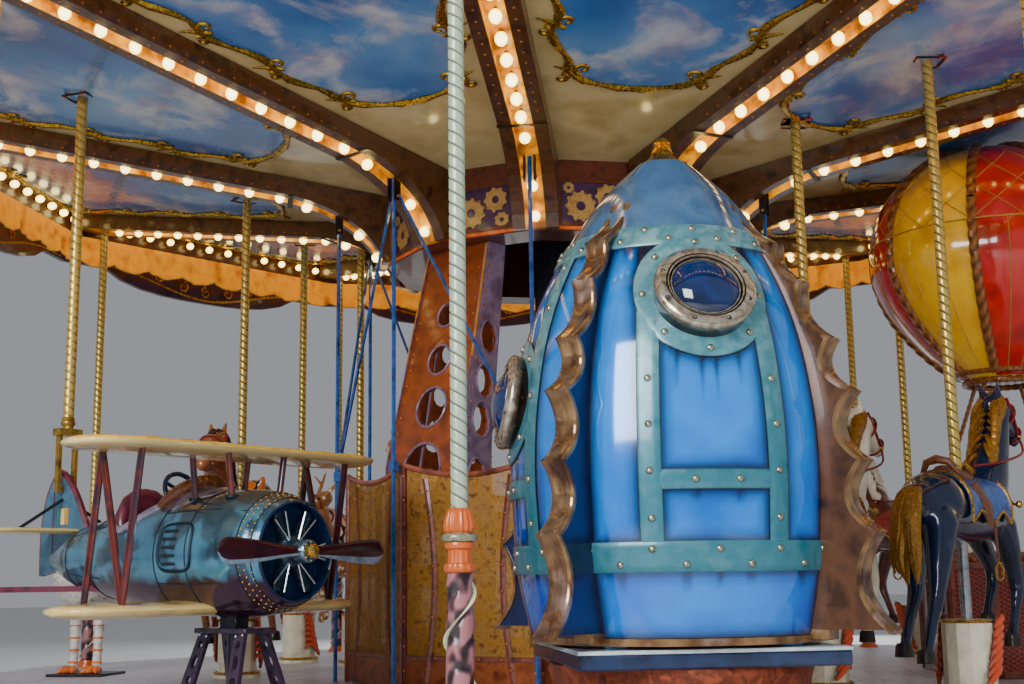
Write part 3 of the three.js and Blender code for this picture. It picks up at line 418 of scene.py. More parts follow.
def studs(name, spots, radius, height, material, tree=rivetTree, body=ride):
    # spots: pairs of a point and the direction that the stud faces
    mesh = meshOf(name + "Points", [p for p, _ in spots], [])
    facing = mesh.attributes.new("facing", "FLOAT_VECTOR", "POINT")
    facing.data.foreach_set("vector", [c for _, n in spots for c in Vector(n)])
    holder = place(name + "Holder", mesh)
    modifier = holder.modifiers.new("studs", "NODES")
    modifier.node_group = tree
    wanted = {"Radius": radius, "Height": height, "Finish": material}
    for item in tree.interface.items_tree:
        if item.in_out == "INPUT" and item.name in wanted:
            modifier[item.identifier] = wanted[item.name]
    piece = place(name, evaluated(holder, name))
    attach(piece, body)


# Camera, floor and light
camera = {"place": (-.302, -8.94, .97), "pitch": 10.1, "roll": -.83, "lens": 1334 * 36 / 1024}
eye = place("camera", bpy.data.cameras.new("camera"))
pitch, roll = radians(camera["pitch"]), radians(camera["roll"])
level, rise = Vector((1, 0, 0)), Vector((0, -sin(pitch), cos(pitch)))
right = level * cos(roll) + rise * sin(roll)
above = rise * cos(roll) - level * sin(roll)
look = above.cross(right).normalized()
eye.matrix_world = Matrix((
    (right.x, above.x, -look.x, camera["place"][0]), (right.y, above.y, -look.y, camera["place"][1]),
    (right.z, above.z, -look.z, camera["place"][2]), (0, 0, 0, 1)))
eye.data.lens, eye.data.sensor_width = camera["lens"], 36
eye.data.clip_start, eye.data.clip_end = .05, 400
bpy.context.scene.camera = eye

bpy.ops.mesh.primitive_circle_add(vertices=96, radius=60, fill_type="NGON", location=(0, 0, -.002))
floor = bpy.context.object
floor.name = "studioFloor"
floor.data.materials.append(finish("paleStudioFloor", "cfcfcd d6d6d4", 900, .7))  # plain matt floor
floor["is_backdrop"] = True

world = bpy.data.worlds.new("studio")
bpy.context.scene.world = world
world.use_nodes = True
world.node_tree.nodes["Background"].inputs["Color"].default_value = linear("dfe3ea")
world.node_tree.nodes["Background"].inputs["Strength"].default_value = .42
lamps = {  # soft boxes: place, aim, size, watts
    "key": ((-6.5, -13.5, 6.5), (0, -1, 1.6), 6, 1800),
    "fill": ((8, -12, 2.6), (.6, -2, 1.8), 6, 520),
    "low": ((-.5, -9.5, .35), (0, -1, 3.4), 5, 330),
    "back": ((2, 13, 5), (0, 0, 2), 8, 1000),
}
for name, (spot, aim, size, watts) in lamps.items():
    lamp = place(name, bpy.data.lights.new(name, "AREA"))
    lamp.location = spot
    lamp.rotation_euler = (Vector(aim) - Vector(spot)).to_track_quat("-Z", "Y").to_euler()
    lamp.data.energy, lamp.data.size = watts, size
    lamp.visible_glossy = name == "key"
print("stage and light ready")


# Outer posts: a rope-turned pole, a turned collar and a carved sleeve
posts = {"fine": (24, 15, 84, 90), "plain": (16, 10, 28, 40), "groove": .0045, "lead": .096, "foot": 1.226}
# brushed enamel, with painted shade in the grooves
ropeMint = shadedReliefFinish("mintCreamEnamel", "3c4438", "a4b29a", .28, .1, .5)
# gilding, with dull brown painted shade between the strands
ropeGold = shadedReliefFinish("gildedTwist", "4a380c", "ccb05c", .28, .6, .3)
# hot orange enamel, with painted shade in the hollows
collarOrange = shadedReliefFinish("orangeCollarEnamel", "7a2408", "f07424", .3, .1, .4)
# chipped grey-green paint
collarGreen = finish("greyGreenLip", "4c4c3c 8c8c70 66664e", 30, .3, .2, .2, 4, .4)
# painted carving, with near black painted shade in its depths and painted pink highlights on its crests
sleeveCarved = shadedReliefFinish("purpleCarvedWood", "1e0f1a", "9a6268", .35, .1, .5, .3)
# pale ribbon under varnish
sleeveRibbon = finish("greenCreamRibbon", "b9bf94 d9dcb4 a9b184", 25, .3, .1, .2, 4, .5)


# two broad strands with a fine groove between
def ropePole(foot, top, radius, sides, steps, depth=None, lead=None):
    depth, lead = depth or posts["groove"], lead or posts["lead"]
    lays = (0, .07, .19, .34, .5, .66, .81, .93)
    if sides > 20:
        lays = (0, .04, .09, .16, .25, .37, .5, .63, .75, .84, .91, .96)
    crests = [1 - (1 - min(1.0, min(t, 1 - t) / .17)) ** 2 for t in lays] * 2
    lays = [pi * t for t in lays] + [pi * (1 + t) for t in lays]
    count, rows = len(lays), max(4, round((top - foot) / lead * steps))
    verts, relief = [], []
    for j in range(rows + 1):
        z = foot + (top - foot) * j / rows
        for lay, crest in zip(lays, crests):
            angle, r = lay - 2 * pi * z / lead, radius - depth * (1 - crest) * radius / .032
            verts.append((r * cos(angle), r * sin(angle), z))
            relief.append(crest)
    return (verts, tubeFaces(rows, count)), relief


def carvedSleeve(sides, rows):  # swelling shells and leaves between foot and collar
    verts, relief = [], []
    for j in range(rows + 1):
        z = .4 + .6 * j / rows
        base = .0555 - .005 * (z - .4) / .6
        for k in range(sides):
            angle = 2 * pi * k / sides
            spot = Vector((cos(angle) * 1.2, sin(angle) * 1.2, z * 17))
            swirl = noise.noise(spot * 1.4) * 2.2 + sin(3 * angle - z * 42 + 2 * noise.noise(spot * .8))
            height = max(0.0, min(1.0, .5 + .55 * swirl)) * (0 if j in (0, rows) else 1)
            r = base - .006 + .006 * height
            verts.append((r * cos(angle), r * sin(angle), z))
            relief.append(height ** 2)
    return (verts, tubeFaces(rows, sides)[:-2]), relief


def fluted(count, depth):
    return lambda angle, z: 1 - depth * (.5 + .5 * cos(count * angle))


for i in range(plan["sectors"]):
    spot = polar(plan["postCircle"], beamAngle(i))
    here = shift(spot)
    near = i == 0
    sides, steps, ring, rows = posts["fine"] if near else posts["plain"]
    top = bulbLine(plan["postCircle"] - .032) - .0055
    post = Form(here)
    twist, relief = ropePole(posts["foot"], top, .032, sides, steps)
    post.add(twist, relief=relief)
    sleeve, relief = carvedSleeve(ring, rows)
    post.add(sleeve, 1, relief=relief)
    foot = points("0 .3503, .078 .3503, .078 .36, .074 .372, .06 .378, .0555 .402")
    post.add(revolve(foot, ring), 2)
    flange = points(".05 .998, .056 1.002, .06 1.014, .056 1.028, .045 1.034, .044 1.04, .0435 1.082")
    post.add(revolve(flange, ring, fluted(12, .06)), 2)
    post.add(revolve(points(".0435 1.08, .054 1.086, .057 1.096, .054 1.106, .045 1.11"), ring), 3)
    post.add(revolve(points(".045 1.108, .06 1.11, .066 1.118, .066 1.13, .06 1.138, .048 1.142"), ring), 4)
    shoulder = points(".048 1.14, .058 1.15, .06 1.162, .056 1.188, .049 1.21, .046 1.222, .038 1.23, "
        ".026 1.234")
    post.add(revolve(shoulder, ring, fluted(16, .1)), 3)
    turns = 1.6
    helix = [polar(.0545 - .005 * t, 200 + 360 * turns * t, .42 + .56 * t) for t in
             [k / (60 if near else 28) for k in range((60 if near else 28) + 1)]]
    post.add(sweep(helix, .011, 6, .35, normal=(0, 0, 1)), 5)
    pole = ropeMint if near else ropeGold
    post.piece(f"twistedPost{i + 1}",
        [pole, sleeveCarved, collarOrange, collarOrange, collarGreen, sleeveRibbon], "gilded_pole",
        [f"post_{i + 1}"])
print("posts ready")

# Ceiling beams: dark timber with a lined channel given a painted glow, lamps, rivets and straps
lampGlass = bpy.data.materials.new("litFrostedLampGlass")  # warm white glass lit from inside
lampGlass.use_nodes = True
tree, shader = parts(lampGlass)
rimLight = addNode(tree, "ShaderNodeLayerWeight", {"Blend": .35}).outputs["Facing"]
feed(shader.inputs["Emission Color"], setStops(addNode(tree, "ShaderNodeValToRGB", {"Fac": rimLight}), [
    (0.0, "fff4b8"), (.4, "ffe060"), (.85, "ffb400")]))
feed(shader.inputs["Base Color"], linear("fff2d0"))
feed(shader.inputs["Emission Strength"], 5.5)
feed(shader.inputs["Roughness"], .2)
lampBrass = finish("lampHolderBrass", "8a5a1c b98234", 12, .35, .9)  # heat-dulled brass
rivetCopper = finish("copperRivets", "b5652c d98a4a", 15, .32, .85)  # warm bright copper
strapBlack = finish("blackStrapIron", "141318 241f22", 25, .4, .6, .2)  # black iron, a little worn
pinBrass = finish("brassPins", "a8742a d8a850", 12, .25, .95)  # turned bright brass

# varnished dark timber, fine grain
beamTimber = finish("darkBeamTimber", "2a160c 5a3418 38200f", 90, .35, 0, .3, 6, .5)
tree, shader = parts(beamTimber)
local, x, y, z = axes(tree)
flat = (x * x + y * y).root()
inSector = (y.arcOver(x) - radians(plan["firstBeam"] + 180 - sector)
    + radians(halfBay)) % radians(sector) - radians(halfBay)
across = (flat * inSector.sine()).size()
# the channel down each beam: amber paint with a painted glow for the light of its lamps
channel = (across < .0615) * (flat < 3.93)
streaks = addNode(tree, "ShaderNodeTexNoise", {"Vector": local, "Scale": 9.0, "Detail": 4.0})
amberChannelGlow = setStops(addNode(tree, "ShaderNodeValToRGB", {"Fac": streaks}),
    [(.35, "7a4400"), (.5, "c88000"), (.65, "f0b000")])
overlay(beamTimber, channel, amberChannelGlow)
feed(shader.inputs["Emission Color"], amberChannelGlow)
feed(shader.inputs["Emission Strength"], channel * .55)
repaint(beamTimber, *[f"beam_{i + 1}" for i in range(plan["sectors"])])

bulbs, holders, beamRivets, straps, pins = [], [], [], Form(), []
lampRow = [(1.87 + plan["bulbPitch"] * k, 0) for k in range(11)] + [(1.69, 3.44), (1.34, 3.26), (1.22, 3.11)]
for angle in beams:
    for radius, height in lampRow:
        spot = polar(radius, angle, height or bulbLine(radius) + .004)
        down = polar(.75, angle, -.66) if radius > 1.3 else polar(1, angle, -.1)
        down = Vector((0, 0, -1)) if radius > 1.8 else down
        bulbs.append((spot, down))
        holders.append((spot - down.normalized() * .03, down))
    for side in (-1, 1):
        for k in range(22):
            radius = 1.95 + .1 * k
            if radius < 4.0:
                spot, outward = polar(radius, angle, bulbLine(radius)), polar(side, angle + 90)
                beamRivets.append((spot + outward * .1405 + Vector((0, 0, .022)), outward))
                beamRivets.append((spot + outward * .1 - Vector((0, 0, .0052)), (0, 0, -1)))
    turn = turnedBy(angle)
    straps.add(block((.035, .292, .006), (1.8, 0, bulbLine(1.8) - .009), .001), 0, turn)
    for side in (1, -1):
        straps.add(block((.05, .012, .15), (1.475, side * .03, 3.33), .002), 0, turn)
        pins.append((turn @ Vector((1.475, -side * .037, 3.28)), turn.to_3x3() @ Vector((0, -side, 0))))
studs("beamLamps", bulbs, .034, .038, lampGlass, bulbTree)
studs("beamLampHolders", holders, .016, .024, lampBrass)
studs("beamRivets", beamRivets, .008, .005, rivetCopper)
studs("strapPins", pins, .012, .01, pinBrass)
straps.piece("beamStraps", [strapBlack], "stay_rod_steel", smooth=False)
print("beams ready")

# Ceiling: glossy cream panels, a painted sky in a gilt scrolled frame in every bay
sky = {"start": 1.97, "end": 4.03, "margin": .135, "drop": .004, "scroll": .46, "rope": .023}
# high-gloss cream, faintly stained
creamPanel = finish("glossyCreamPanel", "b09858 d8c088 c4ac70", 400, .16, 0, .03, 20, .7)
skyPaint = finish("paintedCloudSky", "6f9bc4 6f9bc4", 300, .24, 0, 0, 4, .5)  # gloss over a painted sky
tree, shader = parts(skyPaint)
local, x, y, z = axes(tree)
sky["noise"] = {  # a noise's scale, detail, roughness and distortion, then the stops of its colours
    "blue": (1.1, 3.0, .55, 0.0, [(.3, "184a90"), (.5, "3874b4"), (.7, "6c9cc8")]),
    "cloud": (2.3, 7.0, .6, .6, [(.47, "000000"), (.6, "b0b0b0"), (.74, "e8e8e8")]),
    "blush": (3.7, 4.0, .5, 0.0, [(.38, "a890a0"), (.5, "e0cfc4"), (.62, "f4ead8")])}
layers = {}
for name, (scale, detail, rough, warp, stops) in sky["noise"].items():
    noisy = addNode(tree, "ShaderNodeTexNoise", {
        "Vector": local, "Scale": scale, "Detail": detail, "Roughness": rough, "Distortion": warp})
    layers[name] = setStops(addNode(tree, "ShaderNodeValToRGB", {"Fac": noisy}), stops)
feed(shader.inputs["Base Color"], addNode(tree, "ShaderNodeMix", {
    "Factor": layers["cloud"], "A": layers["blue"], "B": layers["blush"]}, data_type="RGBA"))
# old gilding on moulded scrolls
giltScroll = finish("giltScrollMoulding", "7a5410 c09428 dcb44c", 18, .25, .9, .1, 3)
repaint(creamPanel, "ceiling")


def bayFrame(middle):  # u runs out along the middle of a bay, v across it
    return lambda u, v, drop=0.0: polar(u, middle, panelHeight(u) - drop) + polar(v, middle + 90)


def skyEdge(u):
    room = u * tan(radians(halfBay)) - .147 - sky["margin"]
    early = min(1.0, (u - sky["start"]) / .2)
    late = min(1.0, (sky["end"] - u) / .32)
    return room * sqrt(max(0.0, 1 - (1 - early) ** 2)) * (.8 + .2 * sqrt(max(0.0, 1 - (1 - late) ** 2)))


def skyWave(u):  # the frame bows in and out with its scrolls
    return .034 * cos(2 * pi * (u - sky["start"]) / sky["scroll"])


def curl(centre, start, turns, size, sense, at):  # a volute that winds in on itself
    path = []
    for k in range(15):
        t = k / 14
        angle = start + sense * turns * 2 * pi * t
        r = size * (1 - .82 * t)
        path.append(at(centre[0] + r * cos(angle), centre[1] + r * sin(angle)))
    return path


skies, scrolls = Form(), Form()
spans = 36
for middle in bays:
    at = bayFrame(middle)
    left, rightSide = [], []
    for k in range(spans + 1):
        u = sky["start"] + (sky["end"] - sky["start"]) * (.5 - .5 * cos(pi * k / spans))
        half = skyEdge(u) + skyWave(u) * min(1, 4 * (sky["end"] - u), 6 * (u - sky["start"]))
        left.append((u, half))
        rightSide.append((u, -half))
    verts, faces = [], []
    for (u, a), (_, b) in zip(left, rightSide):
        for s in range(5):
            verts.append(at(u, b + (a - b) * s / 4, sky["drop"]))
    for k in range(spans):
        for s in range(4):
            j = 5 * k + s
            faces.append((j, j + 5, j + 6, j + 1))
    skies.add((verts, faces))
    drop = sky["drop"] + .006
    for side, edge in ((1, left), (-1, rightSide)):
        line = [at(u, v, drop) for u, v in edge]
        scrolls.add(sweep(line, [sky["rope"] * (1 + .35 * sin(k * 1.9)) for k in range(len(line))], 6, .7))
        count = round((sky["end"] - sky["start"]) / sky["scroll"])
        for k in range(count + 1):
            u = sky["start"] + .12 + sky["scroll"] * k * .94
            half = skyEdge(u) + skyWave(u)
            onBay = lambda p, q: at(p, q, drop)
            thin = [.018 * (1 - .6 * j / 14) for j in range(15)]
            inward = curl((u + .05, side * (half - .055)), pi, 1.1, .055, -side, onBay)
            outward = curl((u - .05, side * (half + .045)), 0, .9, .045, -side, onBay)
            scrolls.add(sweep(inward, thin, 6, .7))
            scrolls.add(sweep(outward, thin, 6, .7))
            leaf = [at(u + .02 * t, side * (half + .012 * t * t), drop) for t in (0, 1, 2, 3)]
            scrolls.add(sweep(leaf, [.005, .019, .014, .004], 6, .5))
    across = [at(sky["end"], left[-1][1] * (1 - 2 * k / 12), drop) for k in range(13)]
    scrolls.add(sweep(across, sky["rope"], 6, .7))
    for sense in (-1, 1):
        swirl = curl((sky["end"] - .07, sense * .07), pi / 2 * -sense, 1.2, .07, sense,
                     lambda p, q: at(p, q, drop))
        scrolls.add(sweep(swirl, .009, 6, .7))
skies.piece("ceilingSkies", [skyPaint], "ceiling_panel", smooth=False)
scrolls.piece("ceilingScrolls", [giltScroll], "ceiling_panel")

# Linings of the pole cut-outs: black boxes as painted shade inside the holes, with red corner boards
poleRows = {  # pole name: row radius, angle round from the camera's side
    "horse_outer": (2.78, -46.8), "horse_inner": (1.93, -46.8), "horse_far": (2.2, 97.2),
    "tiger": (2.78, 133.2), "deer": (2.05, 133.2), "horse_back": (3.18, -118.8), "giraffe": (2.78, 169.2),
}


def poleSpot(name):
    row, phi = poleRows[name]
    return polar(row, -90 - phi)


recessShadeBlack = finish("recessPaintedShade", "0b0a0a 1c1513", 60, .7)  # black painted shade inside the cut-outs and screw recesses, no shine
cutRed = finish("redCornerBoard", "8e1d12 b0281a", 40, .4, 0, .1, 4, .3)  # flat red paint
cutOuts = [poleSpot(name) for name in poleRows] + [turnedBy(*plan["planeAt"]) @ Vector((-1.905, 0, 0))]
linings = Form()
for spot in cutOuts:
    azimuth = degrees(atan2(spot.y, spot.x))
    bay = (azimuth - plan["firstBeam"] + sector) % sector - halfBay
    reach = Vector((spot.x, spot.y)).length * cosDeg(bay)
    low = panelHeight(reach) - .012
    turn = turnedBy(azimuth + 45, spot.x, spot.y)
    for k in range(4):
        face = turn @ turnedBy(90 * k)
        linings.add(block((.01, .15, .3), (.07, 0, low + .17), .001), 1 if k == 0 else 0, face)
        linings.add(block((.014, .04, .012), (.08, .062, low + .004), .001), 1, face)
        linings.add(block((.014, .166, .008), (.08, 0, low + .004), .001), 0, face)
linings.piece("cutOutLinings", [recessShadeBlack, cutRed], "ceiling_panel", smooth=False)

# Drum: red-brown frames round purple panels with flat toothed wheels
drum = {"apothem": 1.15 * cosDeg(halfBay), "low": 3.1, "high": 3.35}
# oxblood paint on wood
drumFrame = finish("redBrownDrumFrame", "38140c 642818 481c10", 60, .35, 0, .2, 5, .4)
drumPurple = finish("purpleDrumPanel", "22102c 40204c 2c1638", 120, .35, 0, 0, 5, .3)  # deep flat purple
# matt ochre, cut from board
wheelOchre = finish("ochreToothedWheel", "8a6428 bc9050 a07838", 50, .45, .1, .2, 4, .2)
# orange line, with a faint painted glow for the lamp light on it
drumLine = finish("orangeDrumLine", "b5400f e0661c", 60, .35, 0, 0, 4, .4, 0, .15)
repaint(drumFrame, "drum")


def toothedWheel(radius, teeth, thick):
    outline = []
    for k in range(teeth):
        for part, reach in ((0.0, .86), (.28, .86), (.38, 1.0), (.68, 1.0), (.78, .86)):
            angle = 2 * pi * (k + part) / teeth
            outline.append((radius * reach * cos(angle), radius * reach * sin(angle)))
    inner = [p.xy for p in circle(radius * .3, len(outline))]
    count = len(outline)
    verts = [(x, y, h) for h in (0, thick) for ring in (outline, inner) for x, y in ring]
    faces = []
    for k, n in ringSteps(count):
        faces += [(k, n, 2 * count + n, 2 * count + k), (count + n, count + k, 3 * count + k, 3 * count + n),
                  (2 * count + k, 2 * count + n, 3 * count + n, 3 * count + k), (n, k, count + k, count + n)]
    return verts, faces


panels = Form()
for middle in bays:
    face = turnedBy(middle, 0, 0) @ shift((drum["apothem"], 0, 0)) @ Matrix.Rotation(
        radians(90), 4, "Y") @ turnedBy(90)
    flatPanel = [(-.2, drum["low"]), (.2, drum["low"]), (.2, drum["high"]), (-.2, drum["high"])]
    panels.add(prism(flatPanel, .0015, .007), 1, face)
    wheels = (-.08, 3.2, .098, 11), (.09, 3.265, .08, 9), (.13, 3.135, .05, 8), (-.155, 3.312, .036, 8)
    for k, (px, pz, radius, teeth) in enumerate(wheels):
        seat = face @ shift((px, pz, .0075 + .003 * (k % 2)))
        panels.add(toothedWheel(radius, teeth, .006), 2, seat)
    panels.add(prism(points("-.33 3.052, .33 3.052, .33 3.074, -.33 3.074"), .0015, .01), 3, face)
    for side in (-.225, .225):
        panels.add(prism([(side - .02, 3.085), (side + .02, 3.085), (side + .02, 3.37), (side - .02, 3.37)],
                         .0015, .016), 0, face)
    for level in (3.085, 3.36):
        panels.add(prism([(-.245, level - .012), (.245, level - .012), (.245, level + .012),
                          (-.245, level + .012)], .0015, .016), 0, face)
panels.piece("drumPanels", [drumFrame, drumPurple, wheelOchre, drumLine], "drum_panel", smooth=False)

# Tower: riveted orange plates with lilac sides
tower = {"bend": 1.66, "high": 3.0447, "outer": (1.275, .95), "inner": (1.015, .79),
         "half": (.32, .262), "plate": .024,
         "holes": ((.8, .15), (1.22, .155), (1.63, .15), (2.01, .118), (2.31, .088), (2.6, .07)),
         "slots": (.82, 1.2, 1.575, 1.91, 2.15, 2.43)}
# burnt orange steel, sooty with age
towerPaint = finish("rivetedOrangePlate", "6a2c0c a04a1a 7c3610", 160, .38, .1, .3, 5, .3, .35)
tree, shader = parts(towerPaint)
local, x, y, z = axes(tree)
folded = (y.arcOver(x) + radians(132 + 45 + 360)) % radians(90) - radians(45)
across = ((x * x + y * y).root() * folded.sine()).size()
halfNow = addNode(tree, "ShaderNodeMapRange", {
    "Value": z, "From Min": tower["bend"], "From Max": tower["high"],
    "To Min": tower["half"][0] - .006, "To Max": tower["half"][1] - .006})
lilac = addNode(tree, "ShaderNodeTexNoise", {"Vector": local, "Scale": 9.0, "Detail": 5.0})
overlay(towerPaint, across > halfNow, setStops(addNode(tree, "ShaderNodeValToRGB", {"Fac": lilac}), [
    (.35, "5c4660"), (.55, "86708a"), (.7, "74607a")]))
# worn lilac paint on edges
flangePaint = finish("lilacFlange", "5c4a60 86708a 6e5a74", 60, .35, .2, .2, 5, .3)
cornerGold = finish("yellowOrangeCorner", "b06a14 e09a30", 60, .35, 0, .2, 5, .3)  # amber corner paint
repaint(towerPaint, "tower")
flanges, towerRivets = Form(), []


def legSize(z):  # outer radius, inner radius and half width of a leg at a height
    t = min(max((z - tower["bend"]) / (tower["high"] - tower["bend"]), 0), 1)
    return [a + (b - a) * t for a, b in (tower["outer"], tower["inner"], tower["half"])]


for i in range(4):
    turn = turnedBy(-132 + 90 * i)
    toFront, toSide = turn.to_3x3() @ Vector((1, 0, 0)), turn.to_3x3() @ Vector((0, 1, 0))

    def legPoint(z, v, out):  # at a height, across the leg and out from its front face
        return turn @ Vector((legSize(z)[0] + out, v, z))

    for side in (-1, 1):
        path = [legPoint(z, side * (legSize(z)[2] - .012), .003) for z in (.39, tower["bend"], 3.03)]
        flanges.add(sweep(path, .014, 4, .5))
        upper = [legPoint(z, side * (legSize(z)[2] - .006), .005) for z in (2.3, 3.03)]
        flanges.add(sweep(upper, .011, 6, .6), 1)
        for k in range(26):
            z = .44 + 2.54 * k / 25
            towerRivets.append((legPoint(z, side * (legSize(z)[2] - .05), .001), toFront))
        for k in range(30):
            z = .44 + 2.54 * k / 29
            towerRivets.append((legPoint(z, side * (legSize(z)[2] + .001), -.03), toSide * side))
        for level in tower["slots"]:
            outer, inner, half = legSize(level)
            middle = (outer + inner - tower["plate"]) / 2
            ring = [turn @ Vector((middle + .072 * cos(2 * pi * k / 24), side * (half + .001),
                                   level + .106 * sin(2 * pi * k / 24))) for k in range(24)]
            flanges.add(sweep(ring, .007, 6, closed=True))
    for level, radius in tower["holes"]:
        ring = [legPoint(level + (radius + .006) * sin(2 * pi * k / 32),
                         (radius + .006) * cos(2 * pi * k / 32), .001) for k in range(32)]
        flanges.add(sweep(ring, .008, 6, closed=True))
flanges.piece("towerFlanges", [flangePaint, cornerGold], "tower_plate", smooth=False)
studs("towerRivets", towerRivets, .009, .006, rivetCopper)

# Stay rods
# hard blue enamel, sharp highlights
rodPaint = finish("glossyBlueStayRods", "103a78 2c62b0 1a4a90", 80, .2, .3, .05, 5, .8)
repaint(rodPaint, "stay_rods")
print("ceiling and centre ready")

# Mesh screens round the centre: amber wire cloth in strap frames with copper rivets and a copper skirt
screen = {"corner": 1.42, "low": .3503, "high": 1.655, "dip": 1.585, "skirt": .52, "inset": .012}
wireCloth = finish("amberWireCloth", "7a4c12 b48030 94641c", 40, .5, .4)  # dull brass wire, light between
tree, shader = parts(wireCloth)
local, x, y, z = axes(tree)
rows, files = z.pingPong(.006), (y.arcOver(x) * screen["corner"]).pingPong(.006)
feed(shader.inputs["Alpha"], (rows < .0026).larger(files < .0026) * .5 + .2)
# red-brown paint on straps
strapBrown = finish("redBrownStrapFrame", "4a1c12 74382a 5a2418", 60, .4, .2, .2, 4, .3)
# rubbed red-brown rail
railBrown = finish("redBrownTopRail", "5a2418 94503c 70341f", 120, .35, .1, .1, 4, .4)
# tarnished beaten copper
copperSkirt = finish("copperSkirt", "6e3014 a3552a 84401c", 90, .35, .7, .1, 4, .2, .25)


def screenTop(v, half):
    return screen["dip"] + (screen["high"] - screen["dip"]) * (v / half) ** 2


screens, screenRivets = Form(), []
half = screen["corner"] * sinDeg(halfBay) - .02
flatOut = screen["corner"] * cosDeg(halfBay) - screen["inset"]
for turn in map(turnedBy, bays):
    count = 16
    verts, faces = [], []
    for k in range(count + 1):
        v = -half + 2 * half * k / count
        top = screenTop(v, half) - .01
        for depth, z in ((0, screen["low"] + .1), (0, top), (-.003, top), (-.003, screen["low"] + .1)):
            verts.append((flatOut + depth, v, z))
    for k in range(count):
        a, b = 4 * k, 4 * k + 4
        faces += [(a, b, b + 1, a + 1), (a + 3, a + 2, b + 2, b + 3), (a + 1, b + 1, b + 2, a + 2),
            (a, a + 3, b + 3, b)]
    faces += [(0, 1, 2, 3), tuple(4 * count + j for j in (3, 2, 1, 0))]
    screens.add((verts, faces), 0, turn)
    rail = [(flatOut, v, screenTop(v, half) - .012) for v in [-half + 2 * half * k / 12 for k in range(13)]]
    screens.add(sweep(rail, .017, 8), 2, turn)
    for side in (-1, 1):
        post = [(flatOut, side * (half - .002), z) for z in (.352, .9, 1.645)]
        screens.add(sweep(post, .015, 6), 1, turn)
        bow = [(flatOut + .006, side * (half - .14 - .06 * sin(pi * t)), .4 + 1.16 * t)
               for t in [k / 16 for k in range(17)]]
        screens.add(sweep(bow, .018, 4, .35, normal=(1, 0, 0)), 1, turn)
        for k in range(1, 16, 2):
            point = Vector(bow[k]) + Vector((.008, 0, 0))
            screenRivets.append((turn @ point, turn.to_3x3() @ Vector((1, 0, 0))))
        for k in range(9):
            at = Vector((flatOut + .014, side * (half - .002), .46 + .14 * k))
            screenRivets.append((turn @ at, turn.to_3x3() @ Vector((1, 0, 0))))
    screens.add(block((.012, 2 * half + .02, screen["skirt"] - .36),
        (flatOut, 0, (screen["skirt"] + .36) / 2), .003), 3, turn)
    screens.add(block((.016, 2 * half, .03), (flatOut + .002, 0, screen["skirt"] + .01), .002), 1, turn)
    for k in range(6):
        at = Vector((flatOut + .01, -half + .07 + (2 * half - .14) * k / 5, screen["skirt"] + .01))
        screenRivets.append((turn @ at, turn.to_3x3() @ Vector((1, 0, 0))))
screens.piece("meshScreens", [wireCloth, strapBrown, railBrown, copperSkirt], "screen_mesh",
    ["centre_screen"])
studs("screenRivets", screenRivets, .009, .006, rivetCopper)

# Rim: rail, lamps between the beams, scalloped cloth and carved rounding boards
rimTimber = finish("umberRimTimber", "3a1d0c 6a3a14 4a260e", 80, .35, .1, .2, 5, .4)  # dark stained wood
repaint(rimTimber, "rim_rail")
rim = {"corner": 4.3, "rail": 3.8712, "lamps": 12, "cloth": 4.324, "clothTop": 3.8385, "clothLow": 3.598}
rimBulbs, rimHolders = [], []
for middle in bays:
    inner = rim["corner"] * cosDeg(halfBay) - .03
    for k in range(rim["lamps"]):
        v = -1.1 + 2.2 * k / (rim["lamps"] - 1)
        spot = polar(inner - .035, middle, rim["rail"] + .045) + polar(v, middle + 90)
        rimBulbs.append((spot, polar(-1, middle)))
        rimHolders.append((spot + polar(.032, middle), polar(-1, middle)))
studs("rimLamps", rimBulbs, .031, .036, lampGlass, bulbTree)
studs("rimLampHolders", rimHolders, .017, .026, lampBrass)

# matt orange cloth with a painted glow for the lamps shining through it from behind
clothOrange = finish("orangeValanceCloth", "b86000 fa9c0c e08004", 160, .75, 0, .3, 1.5, 0, 0, .55)
clothHem = finish("goldHemBraid", "c98a20 e8b84a", 8, .5, .3, .3, 2)  # woven gold thread
cloth = {"scallops": 8, "drop": .045, "ripple": .01, "folds": 3, "thick": .0016, "across": 16, "down": 6}
verts, faces, clothArea, clothLength = [], [], 0.0, 0.0
apothem = rim["cloth"] * cosDeg(halfBay) - .012
side = rim["cloth"] * sinDeg(halfBay) - .006
columns = cloth["scallops"] * cloth["across"]
for middle in bays:
    for k in range(columns):
        v = side - 2 * side * k / columns
        t = (k % cloth["across"]) / cloth["across"]
        hang = cloth["drop"] * (1 - 4 * t * (1 - t))
        low = rim["clothLow"] + hang + .004 * sin(.9 * k)
        fade = min(1.0, 12 * (1 - abs(v) / side))
        for j in range(cloth["down"] + 1):
            s = j / cloth["down"]
            sway = cloth["ripple"] * (.25 + .75 * s) * sin(2 * pi * cloth["folds"] * k
                / cloth["across"]) * fade
            spot = polar(apothem - .012 + sway, middle, rim["clothTop"] + (low - rim["clothTop"]) * s)
            verts.append(spot + polar(v, middle + 90))
total = len(verts)
rows = cloth["down"] + 1
for k, n in ringSteps(total // rows):
    clothLength += (verts[n * rows] - verts[k * rows]).length
    for j in range(cloth["down"]):
        a, b, c, d = k * rows + j, n * rows + j, n * rows + j + 1, k * rows + j + 1
        faces.append((a, b, c, d))
        clothArea += .5 * (verts[c] - verts[a]).cross(verts[d] - verts[b]).length
inside = [v - Vector((v.x, v.y, 0)).normalized() * cloth["thick"] for v in verts]
back = [tuple(total + j for j in reversed(face)) for face in faces]
edges = []
for k, n in ringSteps(total // rows):
    for j, flip in ((0, False), (cloth["down"], True)):
        a, b = k * rows + j, n * rows + j
        edges.append((a, b, total + b, total + a) if not flip else (b, a, total + a, total + b))
valance = Form().add((verts + inside, faces + back + edges))
